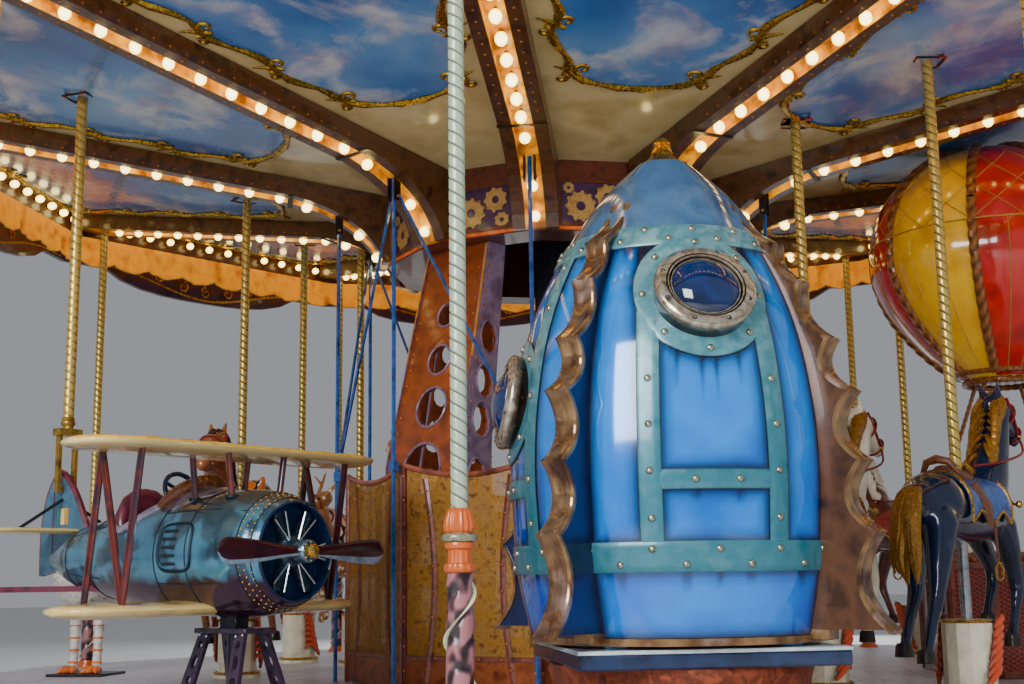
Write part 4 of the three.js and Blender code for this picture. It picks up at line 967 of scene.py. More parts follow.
valanceCloth = valance.piece("valanceCloth", [clothOrange], "valance_cloth", ["valance"])
hem = Form()
hemLine = [verts[k * rows + cloth["down"]] for k in range(0, total // rows, 2)]
hem.add(sweep(hemLine, .006, 5, closed=True))
valanceHem = hem.piece("valanceHem", [clothHem], "valance_cloth")

# near-black purple gloss
boardPurple = finish("darkPurpleBoard", "23101e 43203a 301628", 120, .35, 0, .2, 5, .4)
repaint(boardPurple, "rounding_boards")
boards = {"inner": 4.4365, "low": 3.47, "end": 3.64}
boardGilt = Form()
side = (boards["inner"] + .045) * sinDeg(halfBay)
apothem = boards["inner"] * cosDeg(halfBay)


def boardEdge(v):  # the dipped lower edge, v across the bay
    reach = min(1.0, abs(v) / (.72 * side))
    return boards["low"] + (boards["end"] - boards["low"]) * (3 * reach ** 2 - 2 * reach ** 3)


for turn in map(turnedBy, bays):
    for face in (-.004, .0425):
        line = [(apothem + face, v, boardEdge(v) + .022)
            for v in [-side * .93 + side * 1.86 * k / 30 for k in range(31)]]
        boardGilt.add(sweep(line, .01, 4, .4, normal=(1, 0, 0)), 0, turn)
        for k in range(-5, 6):
            v, sense = k * .235, (1 if k % 2 else -1)
            at = lambda p, q: (apothem + face, p, q)
            path = curl((v, boardEdge(v) + .095), pi * .5, 1.25, .055, sense, at)
            boardGilt.add(sweep(path, [.01 * (1 - .5 * j / 14) for j in range(15)], 4, .4,
                normal=(1, 0, 0)), 0, turn)
        upper = [(apothem + face, v, 4.36) for v in (-side * .93, 0, side * .93)]
        boardGilt.add(sweep(upper, .018, 6, .25, normal=(1, 0, 0)), 0, turn)
boardGilt.piece("boardScrolls", [giltScroll], "rounding_board")

roofCloth = finish("redRoofCanvas", "7c1f14 a5301f 8c2618", 220, .8, 0, .3, 2, 0, .2)  # faded dusty canvas
tree, shader = parts(roofCloth)
local, x, y, z = axes(tree)
stripe = ((y.arcOver(x) * (5 / pi) + .7) % 2.0 < 1.0) * (z < 5.19)
overlay(roofCloth, stripe, "d9c9a4")
overlay(roofCloth, z > 5.262, "b9822e")
repaint(roofCloth, "roof")
ribs = Form()
for angle in beams:
    ribs.add(sweep([polar(4.36, angle, 4.288), polar(.32, angle, 5.238)], .014, 6))
ribs.piece("roofRibs", [giltScroll], "roof_panel")

# Deck, ground frame and mast
# scuffed deck paint
deckPaint = finish("greyLilacDeckBoards", "a9a6b0 c5c2ca b3b0ba", 200, .45, 0, .2, 5, .1, .15)
tree, shader = parts(deckPaint)
local, x, y, z = axes(tree)
inBay = (y.arcOver(x) - radians(plan["firstBeam"])) % radians(sector) - radians(halfBay)
flat = (x * x + y * y).root()
seam = (flat * inBay.cosine()).pingPong(.07) < .0022
bayEdge = flat * ((inBay.size() - radians(halfBay)) * -1).sine()
overlay(deckPaint, seam.larger(bayEdge < .004), "55525c")
# plain rolled steel, greasy
groundSteel = finish("greyBedSteel", "2c2e31 45484c 34363a", 120, .5, .6, .3, 5, 0, .3)
mastPaint = finish("darkMastPaint", "14161c 252932 1a1d24", 90, .4, .4, .2, 5, .2)  # dark machine paint
repaint(deckPaint, "deck")
repaint(groundSteel, "deck_frame", "ground_frame")
repaint(mastPaint, "centre_mast")
print("rim, roof and deck ready")

# Rocket: an egg-shaped shell with riveted teal straps, two portholes and four scalloped bronze fins
rocket = {
    "spot": polar(3.0, -82.15), "face": -83,
    "band": (.99, 1.11), "cross": (1.31, 1.39), "collar": (2.35, 2.45),
    "strapAt": 21.0, "strapWide": .095, "lift": .008, "plate": .288,
    "ports": ((0, 2.115, 27), (-90, 1.74, 9)),  # azimuth from the face, height, tilt
}
rocketStand = turnedBy(rocket["face"], rocket["spot"].x, rocket["spot"].y)
shellPoints = points(".65 .735, .7 .985, .722 1.26, .728 1.43, .716 1.66, .672 1.93, .6 2.16, .5 2.37, "
    ".4 2.53, .3 2.67, .19 2.78, .115 2.85")
shellLine = smoothLine(shellPoints, 120)


def shellRadius(z):
    return float(np.interp(z, [p[1] for p in shellLine], [p[0] for p in shellLine]))


def onShell(angle, z, out=0.0):  # a point on the rocket, angle in degrees from its front
    slope = (shellRadius(z + .01) - shellRadius(z - .01)) / .02
    normal = Vector((1, 0, -slope)).normalized()
    point = Vector((shellRadius(z), 0, z)) + normal * out
    turn = turnedBy(angle)
    return rocketStand @ (turn @ point)


def shellFacing(angle, z):
    return (onShell(angle, z, .1) - onShell(angle, z)).normalized()


def padFaces(rows, cols):  # faces of a pad from two sheets of points, the outer one first
    page, line, faces = (rows + 1) * (cols + 1), cols + 1, []
    for j in range(rows):
        for k in range(cols):
            a = j * line + k
            faces += [(a, a + 1, a + line + 1, a + line),
                (page + a, page + a + line, page + a + line + 1, page + a + 1)]
        a, b = j * line, j * line + cols
        faces += [(a, a + line, page + a + line, page + a), (b + line, b, page + b, page + b + line)]
    for k in range(cols):
        a, b = k, rows * line + k
        faces += [(a + 1, a, page + a, page + a + 1), (b, b + 1, page + b + 1, page + b)]
    return faces


# a plate between two edges given per step as angle and height
def shellPatch(form, edges, rows, cols, lift, mark=0):
    verts, relief = [], []
    for out in (lift, -.002):
        for j in range(rows + 1):
            (a0, z0), (a1, z1) = edges(j / rows)
            for k in range(cols + 1):
                s = k / cols
                verts.append(onShell(a0 + (a1 - a0) * s, z0 + (z1 - z0) * s,
                    out * (.5 if out > 0 and k in (0, cols) else 1)))
                relief.append(1.0 if k in (0, cols) else 0.0)
    form.add((verts, padFaces(rows, cols)), mark, relief=relief)


# deep wet lacquer, long soft highlights
bluePaint = finish("azureLacquer", "0048b4 007ee4 005ecc", 600, .08, .15, .02, 30, 1.0)
tree, shader = parts(bluePaint)
height = addNode(tree, "ShaderNodeMapRange", {
    "Value": axes(tree)[3], "From Min": 1.0, "From Max": 2.3, "To Min": 0.0, "To Max": .4})
overlay(bluePaint, height, "069cec")
overlay(bluePaint, setStops(addNode(tree, "ShaderNodeValToRGB", {"Fac": reliefOf(tree)}), [
    (0.0, "ffffff"), (.28, "a8a8a8"), (.6, "404040"), (1.0, "000000")]), "04122e")
# teal enamel gone chalky
tealPaint = finish("agedTealStrap", "387484 6ca0aa 46828e 7cacb0", 130, .3, .25, .15, 5, .4, .2)
tree, shader = parts(tealPaint)
lower = addNode(tree, "ShaderNodeMapRange", {
    "Value": axes(tree)[3], "From Min": 2.1, "From Max": 1.5, "To Max": .75})
overlay(tealPaint, lower, "066478")
overlay(tealPaint, setStops(addNode(tree, "ShaderNodeValToRGB", {"Fac": reliefOf(tree)}), [
    (.45, "000000"), (.75, "606060"), (1.0, "ffffff")]), "10282e")
# smooth steel-blue lacquer
noseSteel = finish("steelBlueNose", "305880 587ea4 406890", 240, .12, .35, .03, 8, .9)
bronzeRivet = finish("silverBronzeRivets", "6a6658 d0ccb4 9a947c", 14, .22, .9, .05, 3)  # pale polished heads
brassLeaf = finish("brassFinial", "8f5c1c e0a83a b07c20", 30, .2, .95, .1, 4)  # bright cast brass

pick = random.Random(4)
runs = []  # soft dark runs of paint: angle, height where one starts, its length
for k in range(34):
    angle = k * 360 / 34
    local = (angle + 45) % 90 - 45
    if k % 3 < 2:
        runs.append((angle, rocket["band"][0], pick.uniform(.06, .15)))
    if abs(local) > rocket["strapAt"] + 6 and k % 2:
        runs.append((angle, rocket["collar"][0], pick.uniform(.05, .12)))
for middle in (0, 90, 180, 270):
    runs += [(middle + side, rocket["cross"][0], pick.uniform(.06, .11)) for side in (-7, 7)]
for turn, port, tilt in rocket["ports"]:
    for off in (-.14, -.04, .02, .12):
        start = port - sqrt(rocket["plate"] ** 2 - off * off) / 1.04
        runs.append((turn + degrees(off / .69), start, pick.uniform(.1, .24)))


def paintRun(angle, z):  # how strongly a run darkens the shell at a spot
    dark = 0.0
    for at, top, long in runs:
        side = radians((angle - at + 180) % 360 - 180) * .7
        if abs(side) < .05 and 0 <= top + .012 - z < long:
            dark = max(dark, exp(-(side / .017) ** 2) * (1 - (top + .012 - z) / long) ** .4)
    return dark


shell = Form()
rows, sides = 96, 220
verts, faces, relief = [], [], []
for j in range(rows + 1):
    z = .735 + (2.85 - .735) * j / rows
    for k in range(sides):
        angle = 360 * k / sides
        local = (angle + 45) % 90 - 45
        run = radians(abs(local)) * shellRadius(z)
        strap = radians(rocket["strapAt"]) * shellRadius(z)
        near = [abs(z - rocket["band"][1]) if z > 1.05 else abs(z - rocket["band"][0]), abs(z - .735),
                abs(z - rocket["collar"][0]), abs(run - radians(45) * shellRadius(z)) - .055]
        if z > rocket["band"][0]:
            near.append(abs(run - strap) - .048)
        if run < strap:
            near += [abs(z - rocket["cross"][0]), abs(z - rocket["cross"][1])]
        for turn, port, tilt in rocket["ports"]:
            off = radians((angle - turn + 180) % 360 - 180) * shellRadius(z)
            near.append(hypot(off, (z - port) * 1.04) - rocket["plate"])
        relief.append(min(1.0, max(0.0, min(near)) / .1) * (1 - .95 * paintRun(angle, z)))
        verts.append(onShell(angle, z))
shell.add((verts, tubeFaces(rows, sides)), relief=relief)
nose = [(shellRadius(z) + .004, z) for z in (2.44, 2.5, 2.56, 2.62, 2.68, 2.74, 2.8, 2.85)]
shell.add(revolve([(0, 2.436), (shellRadius(2.44) - .004, 2.436)] + nose + [(0, 2.852)], 96), 1, rocketStand)
finial = points(".124 2.84, .122 2.85, .104 2.858, .082 2.87, .062 2.89, .05 2.912, .043 2.935, "
    ".041 2.955, .036 2.972, .024 2.984, 0 2.99")
shell.add(revolve([(0, 2.84)] + finial, 32, fluted(10, .08)), 2, rocketStand)
shell.piece("rocketShell", [bluePaint, noseSteel, brassLeaf], "rocket_paint", ["rocket_body"])

straps, rivets = Form(), []


def band(low, high):
    heights = [low + (high - low) * t for t in (.25, .5, .75)]
    heights = [low, low, low + .006] + heights + [high - .006, high, high]
    outs = [-.002, .005] + [rocket["lift"]] * 5 + [.005, -.002]
    profile = []
    for z, out in zip(heights, outs):
        point = rocketStand.inverted() @ onShell(0, z, out)
        profile.append((point.x, point.z))
    straps.add(revolve(profile + [profile[0]], 128), 0, rocketStand)


def rivetAt(angle, z, out=None):
    rivets.append((onShell(angle, z, rocket["lift"] if out is None else out), shellFacing(angle, z)))


band(*rocket["band"])
band(*rocket["collar"])
for k in range(34):
    rivetAt(k * 360 / 34, rocket["band"][0] + (.03 if k % 2 else .09))
for k in range(30):
    rivetAt(k * 360 / 30, rocket["collar"][0] + (.026 if k % 2 else .074))
halfWide = rocket["strapWide"] / 2
portAt = {turn % 360: port for turn, port, tilt in rocket["ports"]}
for middle in (0, 90, 180, 270):
    port = portAt.get(middle)
    ends = [(rocket["band"][1] - .002, rocket["collar"][0] + .002)]
    if port:
        ends = [(ends[0][0], port)] + ([(port, ends[0][1])] if port < 2 else [])
    for low, high in ends:
        for side in (-1, 1):
            def edges(t, side=side, low=low, high=high, middle=middle):
                z = low + (high - low) * t
                spread = degrees(halfWide / shellRadius(z))
                centre = middle + side * rocket["strapAt"]
                return (centre - spread, z), (centre + spread, z)
            shellPatch(straps, edges, 30, 6, rocket["lift"])
    for k in range(7):
        z = rocket["band"][1] + .09 + .185 * k
        if not port or abs(z - port) > .22:
            if z < (port if port and port > 2 else 9):
                for side in (-1, 1):
                    rivetAt(middle + side * rocket["strapAt"], z)
    low, high = rocket["cross"]
    shellPatch(straps, lambda t: ((middle - rocket["strapAt"] + 42 * t, low),
                                  (middle - rocket["strapAt"] + 42 * t, high)), 16, 4, rocket["lift"] * .8)
    for side in (-7, 7):
        rivetAt(middle + side, (low + high) / 2)
    if not port:
        continue
    rings, count = ((.035, 1), (rocket["plate"] - .02, 0), (rocket["plate"], 1)), 72
    verts, faces, relief = [], [], []

    def plateAt(reach, angle, out):
        z = port + reach * sin(angle) * .96
        return onShell(middle + degrees(reach * cos(angle) / shellRadius(z)), z, out)

    for out in (rocket["lift"] + .0015, -.002):
        for reach, dark in rings:
            for k in range(count):
                verts.append(plateAt(reach, 2 * pi * k / count,
                    out * (.6 if out > 0 and reach == rocket["plate"] else 1)))
                relief.append(dark)
    for k, n in ringSteps(count):
        for a in (0, count):
            faces += [(a + n, a + k, a + count + k, a + count + n)[::-1],
                      (3 * count + a + k, 3 * count + a + n, 4 * count + a + n, 4 * count + a + k)[::-1]]
        faces += [(2 * count + n, 2 * count + k, 5 * count + k, 5 * count + n)[::-1],
                  (k, n, 3 * count + n, 3 * count + k)[::-1]]
    straps.add((verts, [face[::-1] for face in faces]), relief=relief)
    if port > 2:  # the neck between the plate and the collar
        def edges(t):  # a waisted plate from the porthole to the collar
            wide, z = 5 + 9 * abs(2 * t - 1) ** 2.5, port + .25 + (rocket["collar"][0] - port - .248) * t
            return (middle - wide, z), (middle + wide, z)
        shellPatch(straps, edges, 8, 6, rocket["lift"] + .0008)
    for k in range(8):
        angle = 2 * pi * (k + (.5 if port > 2 else 0)) / 8 + (pi / 8 if port > 2 else 0)
        reach = (rocket["plate"] + .212) / 2
        z = port + reach * sin(angle) * .96
        rivetAt(middle + degrees(reach * cos(angle) / shellRadius(z)), z, .0095)
straps.piece("rocketStraps", [tealPaint], "rocket_paint")
studs("rocketRivets", rivets, .0165, .012, bronzeRivet)

# Portholes: bronze rings with domed dark glass
# pale bronze, brown in the corners
portBronze = finish("paleBronzeRing", "6e5c48 cfc4b0 9a8a74 e2d8c4", 90, .2, .75, .05, 4, .4, .15)
tree, shader = parts(portBronze)
overlay(portBronze, (Wire(reliefOf(tree)) - .5) * 2.0, "2a1a12")
# night-blue glass, mirror bright
portGlass = finish("darkDomedGlass", "020818 0a2454 041236", 300, .03, 0, 0, 4, 1.0)
screwDark = finish("steelScrewHeads", "3a3c44 8a8c90", 8, .3, .8)  # small dull steel heads
for number, (turn, height, tilt) in enumerate(rocket["ports"], 1):
    port = rocketStand @ turnedBy(turn) @ shift(
        (shellRadius(height), 0, height)) @ Matrix.Rotation(radians(90 - tilt), 4, "Y")
    ring = Form(port)
    section = points("0 -.05, .2 -.05, .206 .004, .212 .026, .211 .042, .202 .053, .186 .06, .172 .062, "
        ".166 .062, .164 .057, .16 .057, .158 .062, .153 .06, .15 .05, .148 .04, 0 .04")
    dark = [1, 1, 1, .75, .5, .5, .5, .5, .5, 1, 1, .5, .6, 1, 1, 1]
    ring.add(revolve(section, 72),
        relief=[d for d, (r, z) in zip(dark, section) for k in range(72 if r else 1)])
    ring.add(revolve(points("0 .038, .146 .04, .136 .056, .116 .076, .088 .091, .057 .101, .026 .106, "
        "0 .107"), 64), 1)
    ring.add(sweep(circle(.142, 60, .05), .0035, 6, closed=True))
    ring.piece(f"porthole{number}", [portBronze, portGlass], "rocket_bronze", [f"rocket_porthole_{number}"])
    facing = port.to_3x3() @ Vector((0, 0, 1))
    screws = [(port @ polar(.181, 45 * k + 22, .06), facing) for k in range(8)]
    studs(f"portScrews{number}", screws, .0085, .005, screwDark)
    # black cups round the screws: painted shade in their recesses
    studs(f"portCups{number}", [(p - n * .0015, n) for p, n in screws], .013, .003, recessShadeBlack)

# Fins: scalloped plates with a wide beaded rim
# brown bronze, rubbed pink on its beads
finRim = finish("patinatedBronzeRim", "5a3a28 b08a60 7a5434 c4a494", 180, .16, .75, .06, 6, .5, .2)
finSideBlueReflection = finish("finSidePaintedReflection", "06102e 14224e 0a183c", 200, .22, .3, .05, 6, .5, .2)  # dark navy painted reflection of the blue shell, on one face of each fin
# brown bronze lacquer
finBrown = finish("bronzeFinSide", "24120a 5c3820 3c2214", 160, .24, .25, .1, 6, .4, .2)
finTips = points("1.0 .755, .966 1.14, .924 1.43, .89 1.715, .81 1.94, .686 2.2, .576 2.385, .37 2.59")
finSags = [.2, .18, .17, .15, .12, .08, .06]


def finOutline():  # radius and height pairs up the outer edge, with a ledge between scallops
    line = []
    for i, sag in enumerate(finSags):
        (r0, z0), (r1, z1) = finTips[i], finTips[i + 1]
        start = Vector((r0 - (.018 if 0 < i < 6 else 0), z0 + (.012 if 0 < i < 6 else 0)))
        bend, tip = Vector(((r0 + r1) / 2 - sag, z0 + (z1 - z0) * .45)), Vector((r1, z1))
        for k in range(14):
            s = k / 13
            line.append(start * (1 - s) ** 2 + bend * (2 * s * (1 - s)) + tip * s * s)
    return line


edge = finOutline()
section = points("-.055 -.012, -.055 .002, -.048 .008, -.026 .01, -.006 .001, .006 .001, .026 .01, "
    ".048 .008, .055 .002, .055 -.012, 0.0 -.018")
fins = Form()
fins.add(revolve(points(".604 .704, .655 .704, .655 .733, .604 .733, .604 .704"), 96), 0, rocketStand)
for q in range(4):
    turn = rocketStand @ turnedBy(45 + 90 * q)
    verts = []
    for k, point in enumerate(edge):
        ahead, back = edge[min(k + 1, len(edge) - 1)], edge[max(k - 1, 0)]
        along = (ahead - back).normalized()
        normal = Vector((along.y, -along.x))
        verts += [(point.x + normal.x * (n - .01), w, point.y + normal.y * (n - .01)) for w, n in section]
    fins.add((verts, tubeFaces(len(edge) - 1, len(section))), 0, turn)
    verts, faces, marks = [], [], []
    for point in edge:  # both faces of the fin between shell and rim
        inner, outer = max(.25, shellRadius(max(point.y, .74)) - .03), point.x - .022
        verts += [(inner, -.046, point.y), (outer, -.046, point.y), (outer, .046, point.y),
            (inner, .046, point.y)]
    for k in range(len(edge) - 1):
        # one face of each fin brown, the other dark navy as a painted reflection of the shell
        for (s, n), mark in zip(ringSteps(4), (2, 0, 1, 0)):
            faces.append((4 * k + s, 4 * k + n, 4 * k + 4 + n, 4 * k + 4 + s))
            marks.append(mark)
    faces += [(3, 2, 1, 0), tuple(4 * (len(edge) - 1) + s for s in range(4))]
    start = len(fins.faces)
    fins.add((verts, faces), 0, turn)
    fins.marks[start:] = marks + [0, 0]
    fins.add(block((.13, .092, .045), (.665, 0, .735), .004), 0, turn)
fins.piece("rocketFins", [finRim, finSideBlueReflection, finBrown], "rocket_bronze", ["rocket_fins"])

# Plinth: rust-coloured rocks under a navy slab with a pale edge painted as a highlight and four light blue
# blocks
plinthNavy = finish("navySlab", "0c1830 182c50 10203e", 150, .2, .1, .1, 6, .5)  # navy enamel slab
slabEdgeHighlight = finish("paleSlabEdgeHighlight", "9aa8b0 c4ced2", 60, .35, 0, .1, 5, .3)  # pale edge, a painted highlight along the slab's upper lip
plinthBlock = finish("lightBlueBlocks", "5a9ad0 7ab4e0", 60, .3, 0, .1, 5, .3)  # light blue enamel
# rough dry rock, no shine
rockRust = finish("rustBrownRock", "4a1c0e 8a3c20 5e2814 a04c2a", 70, .7, 0, .8, 12, 0, .3)
stand = turnedBy(7.85, rocket["spot"].x, rocket["spot"].y)
plinth = Form(stand)
rock = points("0 .3503, .58 .3503, .6 .39, .585 .44, .555 .48, .565 .53, .585 .58, .59 .612, 0 .612")
plinth.add(revolve(rock, 72, lambda a, z:
    1 - .11 * abs(noise.noise(Vector((2.6 * cos(a), 2.6 * sin(a), 9 * z))))), 3)
plinth.add(block((1.114, 1.174, .062), (0, 0, .645), .008))
# a thin pale slab on top: the painted highlight on the upper lip
plinth.add(block((1.12, 1.18, .016), (0, 0, .682), .003), 1)
for x in (-.37, .37):
    for y in (-.37, .37):
        plinth.add(block((.09, .09, .045), (x, y, .712), .004), 2)
plinth.piece("plinthPieces", [plinthNavy, slabEdgeHighlight, plinthBlock, rockRust], "plinth_paint",
    ["rocket_plinth"])
print("rocket ready")

# Biplane: its own frame has the engine face at the origin, forward along x and left along y
plane = {"shaft": 1.116, "cockpit": (-1.215, -.785), "open": 37.5}
planeStand = turnedBy(*plan["planeAt"])
hullLine = smoothLine(points(".06 -1.94, .165 -1.65, .235 -1.25, .285 -.9, .308 -.5, .305 -.25, "
    ".285 -.12, .262 -.06, .24 -.011"), 90)


def hullRadius(x):
    return float(np.interp(x, [p[1] for p in hullLine], [p[0] for p in hullLine]))


def onHull(x, angle, out=0.0):  # angle in degrees from straight up, positive to the left
    r = hullRadius(x) + out
    return Vector((x, r * sinDeg(angle), plane["shaft"] + r * cosDeg(angle)))


# steel-blue metal paint, rubbed pale
hullSteel = finish("steelBlueHull", "183448 3c6478 28485c 587e8e", 420, .16, .55, .04, 12, .6, .35)
tree, shader = parts(hullSteel)
local, x, y, z = axes(tree)
cloudy = addNode(tree, "ShaderNodeTexNoise", {"Vector": local, "Scale": 5.0, "Detail": 2.0, "Distortion": .4})
overlay(hullSteel, setStops(addNode(tree, "ShaderNodeValToRGB", {"Fac": cloudy}), [
    (.5, "000000"), (.54, "a0a0a0"), (.62, "b8b8b8")]), "5fb4dc")
wavy = z + Wire(cloudy.outputs["Fac"]) * .16 - (.08 + plane["shaft"])
for low, high, colour in ((.19, .27, "4e4a48"), (-.1, -.14, "3c1c30")):  # greyer along the back, plum towards the belly
    overlay(hullSteel, addNode(tree, "ShaderNodeMapRange",
        {"Value": wavy, "From Min": low, "From Max": high}), colour)
seamDark = finish("darkPanelSeam", "0d1a28 16283a", 20, .5, .4)  # dark line of a seam
cowlNavy = finish("navyEngineFace", "04142c 0c2c50", 90, .25, .3, .1, 5, .4)  # dark navy enamel
castIron = finish("darkFinnedCylinders", "1c2c3a 4a6072 2a3a4a", 18, .3, .8, .1, 3)  # oily cast iron
rodSilver = finish("silverPushrods", "a9b9c2 d6e2e8", 12, .2, .9)  # bright steel rods
goldStud = finish("goldCowlStuds", "b07c28 f0bf5b", 8, .25, .95)  # small bright gilt heads
# smooth steel with a lilac cast
lipSteel = finish("lilacSteelCoaming", "4e4658 a49cb4 6c6478", 120, .16, .6, .03, 8, .5)
# creased brown leather, golden on the folds
leather = finish("studdedBrownLeather", "2a120a 7a3a14 3a1c10 c07a24", 16, .35, .1, .5, 4, .4)
burgundy = finish("burgundyLeather", "3a0a20 641830 4a1026", 60, .35, 0, .2, 5, .4)  # soft wine-red leather
wheelBlue = finish("darkBlueWheel", "081430 12224a", 30, .22, .1, 0, 4, .6)  # hard dark blue plastic
hull = Form(planeStand)
stations = sorted(set([float(p[1]) for p in hullLine] + list(plane["cockpit"])))
sides = 48


def openAngle(x):  # the cockpit's side dips towards its rear
    u = (plane["cockpit"][1] - .015 - x) / .415
    return plane["open"] + (24 * sin(pi * u ** 1.4) ** .9 if 0 < u < 1 else 0)


turnStep = 360 / sides
for x in stations:
    for k in range(sides):
        angle, lip = turnStep * k - 180, openAngle(x)
        if abs(angle) >= plane["open"]:
            spread = lip + (abs(angle) - plane["open"]) * (180 - lip) / (180 - plane["open"])
            angle = copysign(spread, angle)
        hull.verts.append(planeStand @ onHull(x, angle))
        hull.relief.append(.5)
for j in range(len(stations) - 1):
    for k in range(sides):
        n = (k + 1) % sides
        middle = turnStep * (k + .5) - 180
        if not (plane["cockpit"][0] - 1e-6 <= stations[j] < plane["cockpit"][1] - 1e-6
                and abs(middle) < plane["open"]):
            hull.faces.append((j * sides + n, j * sides + k, (j + 1) * sides + k, (j + 1) * sides + n))
            hull.marks.append(0)
hull.faces.append(tuple(range(sides)))
hull.marks.append(0)
axle = planeStand @ shift((0, 0, plane["shaft"])) @ Matrix.Rotation(radians(90), 4, "Y")
cowlLip = points("0 -.08, .23 -.08, .24 -.012, .238 -.004, .231 -.001, .226 -.008, .224 -.07, 0 -.07")
hull.add(revolve(cowlLip, 64), 1, axle)
for x in (plane["cockpit"][0] - .02, plane["cockpit"][1]):  # bulkheads behind and in front of the cockpit
    r = hullRadius(x) - .006
    hull.add(revolve([(0, x), (r, x), (r, x + .02), (0, x + .02)], 48), 2, axle)
hull.add(block((.43, .34, .02), (-1.0, 0, plane["shaft"] - .03), .003), 2)


def plateBetween(one, two, thick):  # a thin closed plate between two lines of points
    n = len(one)
    verts = one + two + [v + thick for v in one + two]
    faces = []
    for k in range(n - 1):
        faces += [(n + k, n + 1 + k, k + 1, k), (2 * n + 1 + k, 3 * n + 1 + k, 3 * n + k, 2 * n + k),
                  (2 * n + 1 + k, 2 * n + k, k, k + 1), (3 * n + k, 3 * n + 1 + k, n + 1 + k, n + k)]
    return verts, faces + [(2 * n, 3 * n, n, 0), (2 * n - 1, 4 * n - 1, 3 * n - 1, n - 1)]


within = [x for x in stations if plane["cockpit"][0] - 1e-6 <= x <= plane["cockpit"][1] + 1e-6]
for flank in (-1, 1):
    line = within[::flank]
    edge = [onHull(x, flank * openAngle(x), -.001) for x in line]
    foot = [Vector((x, flank * .155, plane["shaft"] - .022)) for x in line]
    hull.add(plateBetween(edge, foot, Vector((0, flank * .006, 0))), 2)
for level in (-.045, -.115, -.45, -.7, -1.36, -1.62):
    hull.add(sweep([onHull(level, turnStep * k, .0006) for k in range(sides)], .003, 5, closed=True), 3)
for angle in (-118, -48, 48, 118):
    for run in ((-.12, -.3, -.5, -.7), (-1.26, -1.4, -1.6, -1.8)):
        hull.add(sweep([onHull(x, angle, .0006) for x in run], .003, 5), 3)
hullPiece = hull.piece("planeHull", [hullSteel, cowlNavy, burgundy, seamDark], "fuselage_steel")

trim, trimStuds = Form(planeStand), []
arch = []  # a padded roll arches over the front of the cockpit, a steel lip runs round the rest
for k in range(33):
    t = -1 + k / 16
    arch.append(onHull(-.64 - .16 * abs(t) ** 1.6, 38 * t, .01 + .055 * (1 - t * t)))
trim.add(sweep(arch, [.022 + .014 * (1 - (1 - k / 16) ** 2) ** .5 for k in range(33)], 10))
hood = [onHull(-.42 - .24 * abs(1 - k / 16) ** 1.4, 44 * (k / 16 - 1), .002) for k in range(33)]
trim.add(plateBetween([p - Vector((0, 0, .016)) for p in arch], hood, Vector((0, 0, -.008))), 4)
for k in range(2, 31):
    for flank in (-1, 1):
        out = Vector((.5 * flank, .5 * (k - 16) / 16, .9)).normalized()
        trimStuds.append((planeStand @ (arch[k] + out * .035), planeStand.to_3x3() @ out))
lip = [onHull(x, -openAngle(x), .006) for x in within[::-1]]
lip += [onHull(plane["cockpit"][0] - .004, -plane["open"] + 15 * k, .01) for k in range(1, 5)]
lip += [onHull(x, openAngle(x), .006) for x in within]
trim.add(sweep(lip, .022, 10), 4)
backRest = points("-.15 -.05, -.165 .06, -.15 .16, -.105 .235, -.05 .268, 0 .275, .05 .268, .105 .235, "
    ".15 .16, .165 .06, .15 -.05")
seat = planeStand @ shift((-1.13, 0, plane["shaft"] + .05)) @ Matrix.Rotation(
    radians(90), 4, "Z") @ Matrix.Rotation(radians(80), 4, "X")
trim.add(prism(backRest, -.035, .035), 2, seat)
trim.add(sweep([Vector((x, y, 0)) for x, y in backRest], .04, 10), 2, seat)
steer = planeStand @ shift((-.87, 0, plane["shaft"] + .325)) @ Matrix.Rotation(radians(66), 4, "Y")
trim.add(sweep(circle(.105, 24), .013, 8, closed=True), 3, steer)
for spoke in circle(.103, 3):
    trim.add(sweep([(0, 0, -.004), spoke], .01, 6), 3, steer)
trim.add(sweep([(0, 0, -.2), (0, 0, .004)], .016, 8), 3, steer)
trim.piece("cockpitTrim", [leather, hullSteel, burgundy, wheelBlue, lipSteel], "fuselage_steel")
studs("coamingStuds", trimStuds, .0065, .005, goldStud)

hatch, hatchRivets = Form(planeStand), []
for flank in (-1, 1):
    outline = []
    for k in range(40):
        c, s = cos(2 * pi * k / 40), sin(2 * pi * k / 40)
        outline.append((-.535 + .128 * copysign(abs(c) ** .5, c),
            flank * 84 + 22 * copysign(abs(s) ** .5, s)))
    hatch.add(sweep([onHull(x, a, .003) for x, a in outline], .007, 6, closed=True), 1)
    hatch.add(sweep([onHull(x * .96 - .0214, flank * 84 + (a - flank * 84) * .9, .002) for x, a in outline],
        .004, 6, closed=True))
    for k in range(5):
        for s in range(5):
            a0 = flank * (84 - 15 + 7.5 * k)
            slat = [onHull(-.635 + .021 * s + t, a0 + (.012 - t) * 40, .002)
                for t in (0, .006, .012, .018, .024)]
            hatch.add(sweep(slat, [.002, .007, .009, .007, .002], 6), 1)
for k in range(144):
    angle, x = 7.5 * (k % 48) + 3.75 * (k // 48 % 2), (-.105, -.078, -.05)[k // 48]
    hatchRivets.append((planeStand @ onHull(x, angle, -.001), planeStand.to_3x3() @ Vector(
        (.25, sinDeg(angle), cosDeg(angle)))))
hatch.piece("planeHatches", [hullSteel, seamDark], "fuselage_steel")
studs("planeStuds", hatchRivets, .0065, .005, goldStud)

